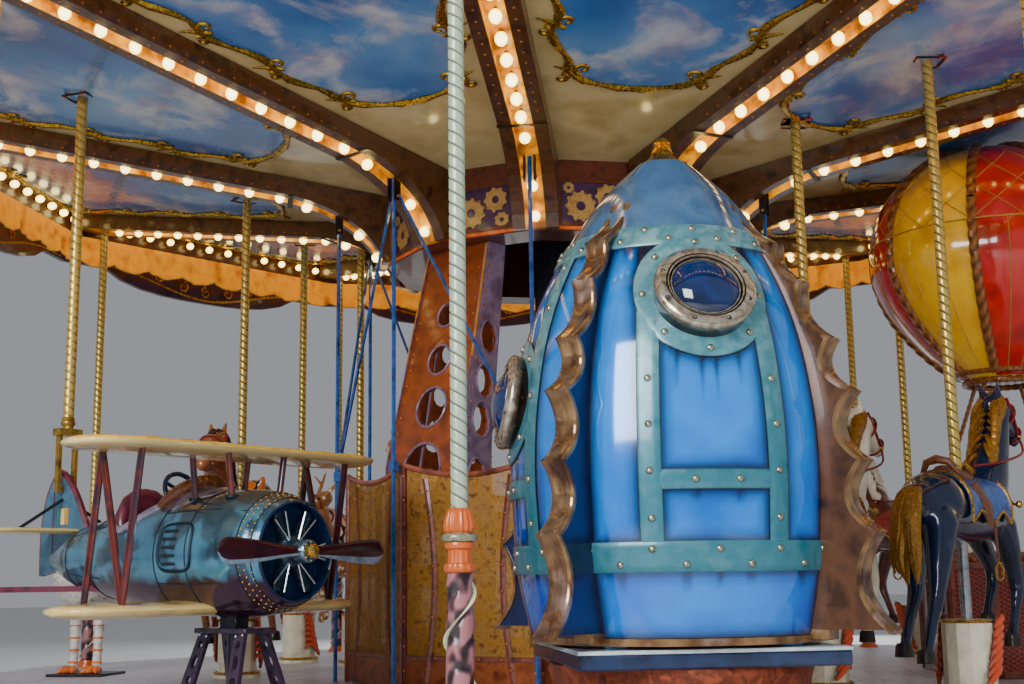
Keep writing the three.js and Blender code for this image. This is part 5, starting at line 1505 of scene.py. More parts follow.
engine = Form(planeStand)
for k in range(6):
    angle = radians(60 * k)
    way = Vector((0, cos(angle), sin(angle)))
    hubPoint = Vector((-.05, 0, plane["shaft"]))
    path = [hubPoint + way * (.07 + .0075 * j) for j in range(17)]
    engine.add(sweep(path, [.03 if j % 2 else .021 for j in range(17)], 12))
    engine.add(block((.03, .04, .04), hubPoint + way * .195 + Vector((.008, 0, 0)), .006))
    for swing in (-11, 11):
        a2 = angle + radians(swing)
        near = Vector((-.022, .066 * cos(angle + radians(swing * .4)),
                       .066 * sin(angle + radians(swing * .4)) + plane["shaft"]))
        far = Vector((-.016, .2 * cos(a2), .2 * sin(a2) + plane["shaft"]))
        engine.add(sweep([near, far], .0048, 6), 1)
crankcase = points("0 -.075, .082 -.075, .082 -.04, .07 -.024, .05 -.0125, 0 -.0125")
engine.add(revolve(crankcase, 32), 0, axle)
engine.piece("planeEngine", [castIron, rodSilver], "fuselage_steel")

# Tail: fin with generic stripes, tailplane and lower tail
# blue-grey paint, a little grimy
finPaint = finish("blueGreyFin", "2c546e 4c7c98 3a6480", 200, .25, .3, .05, 8, .5, .2)
# varnished cream cloth over ribs
wingCream = finish("creamWing", "c8a45c e8cc84 d8b870", 260, .2, 0, .04, 10, .6, .1)
stripeTeal = finish("tealStripe", "1f6a6a 2a7f7c", 60, .3, 0, 0, 4, .4)  # plain teal stripe
stripeOchre = finish("ochreStripe", "b8862c cf9c3c", 60, .3, 0, 0, 4, .4)  # plain ochre stripe


def bent(start, bend, tip, steps):  # a quadratic curve in a plane
    return [tuple(start[i] * (1 - t) ** 2 + bend[i] * 2 * t * (1 - t) + tip[i] * t * t for i in (0, 1))
            for t in [k / steps for k in range(steps + 1)]]


finCurve = bent((-2.09, 1.026), (-2.13, 1.496), (-1.944, 1.606), 14)
finCurve = finCurve + bent((-1.944, 1.606), (-1.79, 1.546), (-1.6, 1.116), 14)[1:]


def standing(outline, low, high):  # an outline in the plane's x and z, as thick as low to high along y
    verts, faces = prism(outline, low, high)
    return [Vector((x, y, z)) for x, z, y in verts], [face[::-1] for face in faces]


tail = Form(planeStand)
tail.add(standing(finCurve, -.018, .018))
tail.add(sweep([(x, 0, z) for x, z in finCurve], .021, 6), 1)
tail.add(standing(points("-1.985 1.07, -1.985 1.56, -1.975 1.56, -1.975 1.07"), -.0195, .0195), 1)
for k, mark in enumerate((3, 2, 4)):
    left = -1.945 + .036 * k
    stripe = [(left, 1.31), (left + .034, 1.31), (left + .034, 1.4), (left, 1.4)]
    tail.add(standing(stripe, -.019, .019), mark)


def airfoil(span, chord, lead, height, thick, tip, wave, steps=72):  # a plump wing with rounded tips
    verts, ring = [], 20
    for k in range(steps + 1):
        y = -span / 2 * cos(pi * k / steps)
        edge = (span / 2 - abs(y)) / (chord * tip)
        taper = sqrt(max(0.0, 1 - max(0.0, 1 - edge) ** 2)) if edge < 1 else 1.0
        width = chord * max(taper, .03)
        for j in range(ring):
            angle = 2 * pi * j / ring
            x = lead - chord / 2 + width / 2 * cos(angle)
            x += 3 * wave * (.5 + .5 * cos(2 * pi * y / .215)) * max(0, -cos(angle))
            lift = copysign(abs(sin(angle)) ** .85, sin(angle)) * (1 - .25 * max(0, -cos(angle)))
            puff = wave * cos(2 * pi * y / .215) * max(0, sin(angle))
            verts.append((x, y, height + (lift * thick / 2 - wave * max(0, sin(angle))) * (.3 + .7 * taper)
                + puff * taper))
    return verts, tubeFaces(steps, ring)


tail.add(airfoil(1.06, .28, -1.73, 1.27, .04, .5, .001, 40), 2)
lowTail = points("-1.34 -.12, -1.95 -.42, -1.99 -.4, -2.01 -.36, -2.01 .36, -1.99 .4, -1.95 .42, -1.34 .12")
tail.add(prism(lowTail, .94, .97), 5)
for flank in (-1, 1):
    tail.add(sweep([(-1.9, flank * .016, 1.45), (-1.87, flank * .32, 1.27)], .009, 6), 6)
tail.piece("planeTail", [finPaint, burgundy, wingCream, stripeTeal, stripeOchre, burgundy, seamDark],
    "fuselage_steel")
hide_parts("biplane_body")

wingTop = finish("yellowWingTop", "d8a82c f4ca50 e8b838", 90, .18, .1, .1, 14, .7)  # glossy warm yellow on the upward faces as a painted highlight over the cream wing
tree, shader = parts(wingTop)
facing = addNode(tree, "ShaderNodeSeparateXYZ",
    {"Vector": addNode(tree, "ShaderNodeNewGeometry").outputs["Normal"]})
# faces turned away from above go cream; the yellow left on the upward faces is a painted highlight
sideMask = addNode(tree, "ShaderNodeMapRange",
    {"Value": facing.outputs["Z"], "From Min": .55, "From Max": .1})
overlay(wingTop, sideMask, "ecd08c")
# dark red varnish turning plum
strutRed = finish("plumRedStruts", "380c10 601c14 2c1026 4c1210", 190, .22, .1, .05, 6, .6)
wings = Form(planeStand)
wingPlans = ((1.85, .54, -.235, 1.6175, .075, 0), (1.815, .46, -.391, .855, .08, 1))
for span, chord, lead, height, thick, mark in wingPlans:
    wings.add(airfoil(span, chord, lead, height, thick, .5, .004), mark)
for y in (-.652, .652):
    for a, b in (((-.743, y, .872), (-.64, y, 1.6)), ((-.64, y, 1.6), (-.452, y, .872)),
                 ((-.452, y, .872), (-.338, y, 1.6))):
        a, b = Vector(a), Vector(b)
        wings.add(sweep([a + (b - a) * t for t in (0, .1, .5, .9, 1)], [.019, .021, .022, .021, .019], 10, .7,
                        normal=(0, 1, 0)), 2)
for y in (-.18, .18):
    for x in (-.3, -.57):
        foot = onHull(x, degrees(asin(y * .85 / hullRadius(x))), -.004)
        wings.add(sweep([foot, (x, y, 1.6)], .019, 10, .75, normal=(0, 1, 0)), 2)
        wings.add(sweep([foot - Vector((0, 0, .001)), foot + Vector((0, 0, .012))], .034, 12), 3)
wings.piece("planeWings", [wingTop, wingCream, strutRed, seamDark], "wing_cream", ["biplane_wings"])

# Trestle: narrow plates with round and oval holes under a riveted head
# plum paint on cut plate
trestlePaint = finish("plumTrestlePlates", "1a1228 44304a 2a1c34", 90, .3, .3, .1, 5, .4, .2)
trestleDark = finish("darkTrestleSteel", "0c0e18 1c2030", 60, .3, .5, .1, 5, .3)  # blue-black steel


def holedPlate(outline, holes, thick, sides=20):  # a flat plate with holes, outlines in its own plane
    loops = [[Vector((x, y, 0)) for x, y in outline]]
    for cx, cy, rx, ry in holes:
        loops.append([Vector((cx + rx * cos(2 * pi * k / sides), cy - ry * sin(2 * pi * k / sides), 0))
                      for k in range(sides)])
    flat = [p for loop in loops for p in loop]
    count, faces = len(flat), []
    verts = [Vector((p.x, p.y, thick / 2)) for p in flat] + [Vector((p.x, p.y, -thick / 2)) for p in flat]
    for a, b, c in tessellate_polygon(loops):
        if (flat[b] - flat[a]).cross(flat[c] - flat[a]).z < 0:
            a, b, c = a, c, b
        faces += [(a, b, c), (count + a, count + c, count + b)]
    start = 0
    for loop in loops:
        for k in range(len(loop)):
            a, b = start + k, start + (k + 1) % len(loop)
            faces.append((b, a, count + a, count + b))
        start += len(loop)
    return verts, faces


trestle, trestleBolts = Form(planeStand), []
trestle.add(block((.38, .19, .026), (-.44, 0, .745), .005))
trestle.add(block((.12, .084, .062), (-.44, 0, .785), .004), 1)
for end in (-1, 1):
    for flank in (-1, 1):
        head = Vector((-.44 + end * .13, flank * .065, .745))
        foot = Vector((-.44 + end * .18, flank * .175, .372))
        along = (foot - head).normalized()
        across = Vector((0, 1, 0)).cross(along).normalized()
        face = across.cross(along)
        lie = Matrix(((across.x, along.x, face.x, head.x), (across.y, along.y, face.y, head.y),
                      (across.z, along.z, face.z, head.z), (0, 0, 0, 1)))
        long = (foot - head).length
        plate = [(-.034, 0), (.034, 0), (.045, long), (-.045, long)]
        holes = points("0 .07 .018 .018, 0 .155 .018 .034, 0 .245 .02 .02, 0 .325 .02 .034")
        trestle.add(holedPlate(plate, holes, .022), 0, planeStand @ lie)
        trestle.add(block((.13, .11, .022), (foot.x, foot.y, .3615), .004), 1)
        for y in (-.025, .025):
            spot = planeStand @ lie @ Vector((y, .025, .011 * (1 if face.y * flank > 0 else -1)))
            trestleBolts.append((spot, planeStand.to_3x3() @ (face * (1 if face.y * flank > 0 else -1))))
    trestle.add(sweep([(-.44 + end * .17, -.15, .46), (-.44 + end * .17, .15, .46)], .012, 8), 1)
for flank in (-1, 1):
    trestle.add(sweep([(-.6, flank * .14, .46), (-.28, flank * .14, .46)], .012, 8), 1)
trestle.add(sweep([(-.44, 0, .352), (-.44, 0, .74)], .032, 16), 1)
trestle.piece("planeTrestle", [trestlePaint, trestleDark], "trestle_paint", ["biplane_trestle"])
studs("trestleBolts", trestleBolts, .01, .007, rodSilver)

# Propeller
# varnished dark wood
bladeWood = finish("darkRedBrownBlade", "180606 360e0c 240808", 160, .16, 0, .04, 8, .7)
bladeGrey = finish("greyBlueBladeBack", "5a6c80 8898a8 6a7c90", 90, .2, .2, 0, 4, .6)  # grey-blue paint
hubSteel = finish("blueSteelHub", "4a6c84 90aebe", 15, .2, .85)  # polished blue steel
hubGold = finish("brassHubCap", "b8862c eec668", 12, .25, .95)  # polished brass
prop = Form(planeStand)
for way in (1, -1):
    verts, ring, stations = [], 16, 26
    for k in range(stations + 1):
        t = k / stations
        y = .03 + .5 * t
        width = .026 + .038 * sin(pi / 2 * min(1, t * 1.25)) ** 1.6
        if t > .86:
            width *= sqrt(max(.02, 1 - ((t - .86) / .14) ** 2))
        pitch, thick = radians(38 - 22 * t), .013 - .006 * t
        for j in range(ring):
            angle = 2 * pi * j / ring
            p, q = width * cos(angle), thick * sin(angle)
            depth = p * sin(pitch) * .35 + q * cos(pitch)
            verts.append(Vector((.058 + way * depth * .8, way * y,
                plane["shaft"] + p * cos(pitch) - q * sin(pitch))))
    faces = tubeFaces(stations, ring)
    faces = [face[::-1] for face in faces] if way > 0 else faces
    start = len(prop.faces)
    prop.add((verts, faces))
    prop.marks[start:] = [1 if 5 <= k % ring <= 9 else 0 for k in range(len(faces))]
hubLine = points("0 -.009, .042 -.009, .05 .01, .055 .03, .056 .084, .05 .092, 0 .092")
prop.add(revolve(hubLine, 32), 2, axle)
prop.add(revolve(points("0 .09, .034 .09, .034 .112, .026 .122, .012 .13, 0 .132"), 24), 3, axle)
prop.piece("planePropeller", [bladeWood, bladeGrey, hubSteel, hubGold], "propeller_wood", ["propeller"],
    body="propeller_blades")
hubBolts = [(axle @ spot, axle.to_3x3() @ Vector((0, 0, 1))) for spot in circle(.044, 8, .092)]
studs("hubBolts", hubBolts, .0055, .005, hubGold, body="propeller_blades")
print("biplane ready")

# Balloon: yellow and red gores between roped ribs, a net of fine lines and a caned basket
balloon = {"spot": polar(2.9, -90 + 82.8), "turn": 82.8, "gores": 8, "first": 24.4, "seam": 3.1}
balloonStand = turnedBy(balloon["turn"], balloon["spot"].x, balloon["spot"].y)
skin = smoothLine(points(".25 2.2, .3 2.24, .48 2.4, .66 2.62, .765 2.84, .788 3.01, .765 3.2, .68 3.4, "
    ".54 3.56, .33 3.68, .09 3.726, .02 3.729"), 72)


def skinRadius(z):
    return float(np.interp(z, [p[1] for p in skin], [p[0] for p in skin]))


goreYellow = finish("yellowGore", "cc8c0c f0b81c dca014", 260, .14, 0, .03, 20, .8)  # glossy moulded yellow
goreRed = finish("redGore", "8e140e c4241a a51a12", 260, .14, 0, .03, 20, .8)  # glossy moulded red
ropeRib = shadedReliefFinish("brownGoldRope", "2a120a", "9a5c28", .3, .2, .4)  # moulded rope, painted shade in its lay
netLine = finish("ochreNetLine", "9a701c c49430", 20, .4, .1, 0, 4, .3)  # thin ochre lines
envelope, net = Form(balloonStand), Form(balloonStand)
sides = balloon["gores"] * 12
verts, faces = [], []
for r, z in skin:
    for k in range(sides):
        angle = 2 * pi * k / sides
        swell = r * (1 - .022 * abs(cos(balloon["gores"] / 2 * angle)) ** 6)
        angle += radians(balloon["first"])
        verts.append((swell * cos(angle), swell * sin(angle), z))
faces = tubeFaces(len(skin) - 1, sides)
start = len(envelope.faces)
envelope.add((verts, faces))
envelope.marks[start:] = [1 if (k % sides) // 12 % 2 else 0 for k in range(len(faces) - 2)] + [0, 0]


def ropeAlong(form, path, radius, lay=.05, sides=8, strand=.28):  # a laid rope along points
    path = [Vector(p) for p in path]
    up, run = Vector((0, 0, 1)), 0.0
    verts, relief = [], []
    for i, point in enumerate(path):
        ahead, back = path[min(i + 1, len(path) - 1)], path[max(i - 1, 0)]
        run += (point - path[i - 1]).length if i else 0
        along = (ahead - back).normalized()
        side = along.cross(up if abs(along.z) < .95 else Vector((1, 0, 0))).normalized()
        top = side.cross(along)
        for k in range(sides):
            angle = 2 * pi * k / sides
            wave = abs(cos(angle + pi * run / lay))
            verts.append(point + (side * cos(angle) + top * sin(angle)) * radius
                * (1 - strand + strand * wave))
            relief.append(wave)
    form.add((verts, tubeFaces(len(path) - 1, sides)), relief=relief)


gore = 360 / balloon["gores"]


def skinPath(start, turn, low, high, count):  # a line up the skin that may wind round it
    path = []
    for k in range(count + 1):
        z, angle = low + (high - low) * k / count, start + turn * k / count
        path.append(polar(skinRadius(z) + .001, angle, z))
    return path


for g in range(balloon["gores"]):
    start = balloon["first"] + gore * g
    path = [(x * .975, y * .975, z) for x, y, z in skinPath(start, 0, 2.23, 3.715, 130)]
    ropeAlong(net, path, .034, .085, 10, .22)
    for share in (1 / 3, 2 / 3):
        net.add(sweep(skinPath(start + gore * share, 0, 2.24, balloon["seam"], 30), .0032, 4), 1)
    for sense in (-1, 1):
        for share in (0, .5):
            wind = skinPath(start + gore * share, sense * gore, balloon["seam"], 3.6, 24)
            net.add(sweep(wind, .0032, 4), 1)
seamRing = skinPath(0, 360, balloon["seam"], balloon["seam"], 96)[:-1]
net.add(sweep(seamRing, .005, 6, closed=True), 1)
for z, radius in ((2.235, .02), (3.715, .018)):
    ring = circle(skinRadius(z), 96, z)
    ropeAlong(net, ring + ring[:1], radius, .05)
envelope.piece("balloonSkin", [goreYellow, goreRed], "balloon_gores", ["balloon_envelope"])
net.piece("balloonNet", [ropeRib, netLine], "moulded_rope")

# woven cane, dark in the gaps
canedRed = finish("redBrownCane", "5a160e 8a2c1c 6e2014", 14, .5, 0, .2, 4, .3, .2)
tree, shader = parts(canedRed)
local, x, y, z = axes(tree)
cane = ((x + y) * 160).sine() * (z * 230).sine()
overlay(canedRed, (cane > .15) * .65, "2a0a06")
feed(shader.inputs["Normal"],
    addNode(tree, "ShaderNodeBump", {"Height": cane, "Strength": .8, "Distance": .004}))
basketRim = shadedReliefFinish("darkRopeRim", "2a120a", "8a4a24", .4, .1, .3)  # thick dark rope, painted shade in its lay
repaint(canedRed, "balloon_basket")
basket = Form(balloonStand)
half, rimTop, rimLow = .52, 1.06, .3503
corners = [(-half, -half), (half, -half), (half, half), (-half, half)]
path = []
gap = .215
walk = [(gap, -half), (half, -half), (half, half), (-half, half), (-half, -half), (-gap, -half)]
for (x0, y0), (x1, y1) in zip(walk[:-1], walk[1:]):
    steps = max(2, round(hypot(x1 - x0, y1 - y0) / .012))
    path += [(x0 + (x1 - x0) * k / steps, y0 + (y1 - y0) * k / steps, rimTop + .004) for k in range(steps)]
ropeAlong(basket, path, .034, .06)
for x, y in corners:
    basket.add(sweep([(x * .985, y * .985, rimLow), (x * .985, y * .985, rimTop)], .028, 8), 1)
for side in range(4):
    quarterTurn = turnedBy(90 * side)
    for t in ((-.26, .26) if side else (-.235, .235)):
        basket.add(block((.045, .014, .7), (t, -half - .002, .705), .004), 1, balloonStand @ quarterTurn)
    for z in (.375, 1.015):
        if side:
            basket.add(block((1.03, .014, .045), (0, -half - .002, z), .004), 1, balloonStand @ quarterTurn)
basket.piece("basketTrim", [basketRim, strapBrown], "basket_cane")
ropes = Form(balloonStand)
for x in (-1, 1):
    for y in (-1, 1):
        a, b = Vector((x * .488, y * .488, 1.075)), Vector((x * .14, y * .14, 2.185))
        ropeAlong(ropes, [a + (b - a) * k / 90 for k in range(91)], .015, .045)
        ropes.add(block((.05, .05, .04), (x * .488, y * .488, 1.082), .006))
ring = circle(.232, 80, 2.178)
ropeAlong(ropes, ring + ring[:1], .022, .05)
ropes.piece("balloonRopes", [ropeRib], "moulded_rope", ["balloon_ropes"])
print("balloon ready")

# Riding figures: limbs drawn as tapering tubes, then melted into one skin and smoothed
horseLimbs = [
    points("-.44 0 1.31 .12, -.33 0 1.315 .172, -.1 0 1.285 .16, .12 0 1.285 .162, .3 0 1.31 .16, "
        ".4 0 1.35 .11"),
    points(".26 0 1.36 .145, .35 0 1.48 .125, .44 0 1.62 .1, .52 0 1.76 .08, .56 0 1.84 .072"),
    points(".5 0 1.88 .08, .57 0 1.86 .084, .66 0 1.79 .062, .72 0 1.745 .05, .765 0 1.715 .046"),
    points(".34 .085 1.22 .078, .44 .085 1.11 .06, .54 .085 .98 .042, .5 .085 .86 .032, "
        ".45 .085 .77 .03, .44 .085 .72 .04"),
    points(".32 -.085 1.22 .078, .4 -.085 1.06 .058, .45 -.085 .9 .04, .41 -.085 .78 .031, "
        ".36 -.085 .67 .03, .345 -.085 .62 .04"),
    points("-.4 .09 1.22 .094, -.36 .09 1.06 .07, -.36 .09 .9 .044, -.44 .09 .76 .033, -.5 .09 .64 .03, "
        "-.525 .09 .6 .04"),
    points("-.42 -.09 1.22 .094, -.45 -.09 1.06 .07, -.5 -.09 .88 .044, -.57 -.09 .74 .033, "
        "-.63 -.09 .62 .03, -.655 -.09 .58 .04"),
    [(.5, .045, 1.93, .028), (.475, .052, 2.01, .014)], [(.5, -.045, 1.93, .028), (.475, -.052, 2.01, .014)],
]
tigerLimbs = [
    points("-.4 0 1.43 .11, -.28 0 1.435 .148, 0 0 1.42 .14, .3 0 1.47 .158, .38 0 1.5 .12"),
    points(".32 0 1.53 .112, .44 0 1.64 .132, .53 0 1.64 .116, .62 0 1.6 .07"),
    [(.47, .1, 1.73, .04), (.47, .12, 1.77, .026)], [(.47, -.1, 1.73, .04), (.47, -.12, 1.77, .026)],
    points(".3 .09 1.4 .08, .43 .09 1.2 .056, .47 .09 1.06 .05, .5 .09 1.03 .056"),
    points(".28 -.09 1.4 .08, .38 -.09 1.18 .056, .36 -.09 1.03 .05, .39 -.09 1.0 .056"),
    points("-.32 .09 1.39 .094, -.26 .09 1.18 .06, -.32 .09 1.03 .05, -.29 .09 1.0 .056"),
    points("-.34 -.09 1.39 .094, -.39 -.09 1.18 .06, -.46 -.09 1.06 .05, -.43 -.09 1.02 .056"),
    points("-.4 0 1.47 .044, -.5 0 1.46 .04, -.58 0 1.52 .036, -.62 0 1.6 .034, -.66 0 1.67 .03"),
]
deerLimbs = [
    points("-.35 0 1.12 .09, -.25 0 1.12 .124, 0 0 1.105 .112, .25 0 1.13 .12, .31 0 1.15 .09"),
    points(".25 0 1.18 .092, .32 0 1.32 .07, .37 0 1.46 .06, .39 0 1.56 .056"),
    points(".34 0 1.59 .062, .42 0 1.56 .062, .48 0 1.52 .044, .53 0 1.485 .034"),
    points(".25 .07 1.08 .058, .42 .07 .92 .034, .38 .07 .76 .025, .385 .07 .72 .03"),
    points(".23 -.07 1.08 .058, .34 -.07 .88 .034, .3 -.07 .74 .025, .305 -.07 .7 .03"),
    points("-.27 .07 1.08 .07, -.24 .07 .88 .036, -.38 .07 .72 .025, -.375 .07 .68 .03"),
    points("-.28 -.07 1.08 .07, -.36 -.07 .88 .036, -.46 -.07 .74 .025, -.455 -.07 .7 .03"),
    [(.37, .05, 1.62, .018), (.3, .09, 1.7, .016), (.24, .12, 1.8, .011)],
    [(.37, -.05, 1.62, .018), (.3, -.09, 1.7, .016), (.24, -.12, 1.8, .011)],
    [(.3, .09, 1.7, .014), (.34, .13, 1.77, .01)], [(.3, -.09, 1.7, .014), (.34, -.13, 1.77, .01)],
]
giraffeLimbs = [
    points("-.33 0 1.32 .11, -.23 0 1.335 .154, 0 0 1.345 .145, .24 0 1.38 .156, .31 0 1.43 .11"),
    points(".24 0 1.44 .115, .36 0 1.65 .092, .48 0 1.85 .078, .62 0 2.1 .066, .76 0 2.32 .058"),
    points(".72 0 2.36 .06, .78 0 2.29 .068, .82 0 2.19 .052, .862 0 2.085 .042"),
    [(.7, .045, 2.4, .02), (.68, .05, 2.455, .016)], [(.7, -.045, 2.4, .02), (.68, -.05, 2.455, .016)],
    points(".24 .09 1.29 .074, .28 .09 .94 .042, .29 .09 .7 .032, .3 .09 .6 .042"),
    points(".22 -.09 1.29 .074, .23 -.09 .94 .042, .24 -.09 .7 .032, .25 -.09 .59 .042"),
    points("-.25 .09 1.27 .08, -.22 .09 .94 .042, -.25 .09 .7 .032, -.26 .09 .59 .042"),
    points("-.27 -.09 1.27 .08, -.3 -.09 .94 .042, -.34 -.09 .7 .032, -.35 -.09 .6 .042"),
]
birdLimbs = [
    points("-.26 0 .96 .11, -.15 0 .97 .19, 0.0 0 .985 .196, .14 0 1.0 .18, .24 0 1.04 .12"),
    points(".2 0 1.06 .105, .25 0 1.14 .078, .28 0 1.2 .07, .31 0 1.28 .076"),
    [(.29, 0, 1.29, .068), (.35, 0, 1.275, .044), (.41, 0, 1.25, .022)],
    [(-.23, 0, 1.02, .1), (-.35, 0, 1.1, .075), (-.47, 0, 1.165, .045)],
]


def moulded(name, limbs, voxel, body, material, stands, matrix, smoothing=6):
    form = Form()
    for limb in limbs:
        steps = max(6, 4 * len(limb))
        line = smoothLine([p[:3] for p in limb], steps) if len(limb) > 2 else [np.array(p[:3]) for p in limb]
        spread = [float(r) for r in np.interp(np.linspace(0, len(limb) - 1, len(line)), range(len(limb)),
                                               [p[3] for p in limb])]
        form.add(sweep(line, spread, 14))
        for end, r in ((line[0], spread[0]), (line[-1], spread[-1])):
            form.add(revolve([(0, -r), (r * .6, -r * .8), (r * .95, -r * .31), (r * .95, r * .31),
                (r * .6, r * .8), (0, r)], 12), 0, shift(Vector(end)))
    holder = place(name + "Holder", meshOf(name, form.verts, form.faces))
    melt = holder.modifiers.new("melt", "REMESH")
    melt.mode, melt.voxel_size = "VOXEL", voxel
    soften = holder.modifiers.new("soften", "SMOOTH")
    soften.factor, soften.iterations = .5, smoothing
    solid = evaluated(holder, name)
    solid.transform(matrix)
    solid.materials.clear()
    return dress(name, solid, [material], [0] * len(solid.polygons), stands, body)


def figureStand(name):  # a figure's own frame: forward along x, counter-clockwise round the deck
    row, phi = poleRows[name]
    spot = poleSpot(name)
    return turnedBy(-phi, spot.x, spot.y)


# bare steel, soft streaks
poleSteel = finish("brushedSteelPole", "8a8e94 c4c8cc a0a4aa", 60, .25, .9, .05, 4)


def gallopPole(name, body, foot):  # the twisted pole that carries a figure
    row, _ = poleRows[name]
    top = bulbLine(row) + .11 + .25
    belly = {"tiger": 1.31, "deer": 1.03, "giraffe": 1.25}.get(name, 1.17)
    twist, relief = ropePole(belly, top, plan["poleRadius"], 16, 10)
    stand = figureStand(name)
    pole = Form().add(twist, 0, stand, relief)
    pole.add(revolve([(0, foot), (.0285, foot), (.0285, belly + .02), (0, belly + .02)], 16), 1, stand)
    pole.piece(name.replace("_", "") + "Pole", [ropeGold, poleSteel], "gilded_pole", body=body)


def hairTufts(form, path, count, reach, back, wide=.03, seed=3):  # overlapping locks down a crest
    pick = random.Random(seed)
    for k in range(count):
        t = k / (count - 1)
        base = Vector(path[min(len(path) - 1, int(t * (len(path) - 1)))])
        for flank in (-1, 1):
            swing = pick.uniform(-.02, .02)
            lock = [base + Vector((0, flank * .012, .02)),
                    base + Vector((back * .35 + swing, flank * .05, -reach * .1)),
                    base + Vector((back * .8, flank * .072, -reach * .45)),
                    base + Vector((back + swing, flank * .066, -reach * .85)),
                    base + Vector((back * .7 + swing * 2, flank * .06, -reach * 1.05))]
            form.add(sweep(smoothLine(lock, 9), [wide * s for s in (.6, .85, 1, 1, .9, .8, .62, .4, .15)],
                6, .55))


# gilded hair, brown in the locks
maneGold = finish("gildedMane", "5c3810 a87420 80541a cc9838", 22, .35, .6, .5, 5, .2)
# worn saddle leather
saddleBrown = finish("brownSaddleLeather", "3a1c10 6a3a20 4c2816", 40, .4, 0, .3, 4, .3)
# blue paint over carved cloth
clothBlue = finish("bluePaintedCaparison", "0c2c6c 2a5ca4 184088", 60, .3, .1, .2, 5, .4)
trimGold = finish("goldHarnessTrim", "a8742a e0b458", 12, .25, .9, .2, 3)  # bright gilt trim
strapRed = finish("darkRedBridle", "5a0e10 8a1c1c", 20, .35, 0, .2, 4, .3)  # dark red strap paint
hoofDark = finish("darkHoof", "120e0c 2c221c", 20, .4, .1, .1, 4, .3)  # near-black hoof
eyeDark = finish("glossyEye", "050505 0c0a0a", 10, .05, 0, 0, 4, 1.0)  # wet black glass

coats = {
    # blue-black enamel, very glossy
    "horse_outer": finish("navyBlackCoat", "03060e 0e1c3a 081022", 220, .16, .2, .03, 10, .8),
    "horse_inner": finish("creamCoat", "c8bca0 e6dcc4 d6cab0", 220, .2, 0, .03, 10, .7),  # cream enamel
    "horse_far": finish("chestnutCoat", "5a2c14 94562c 74401e", 220, .2, 0, .03, 10, .7),  # chestnut enamel
    "horse_back": finish("bayCoat", "3a1812 6a3024 4c2018", 220, .2, 0, .03, 10, .7),  # dark bay enamel
}


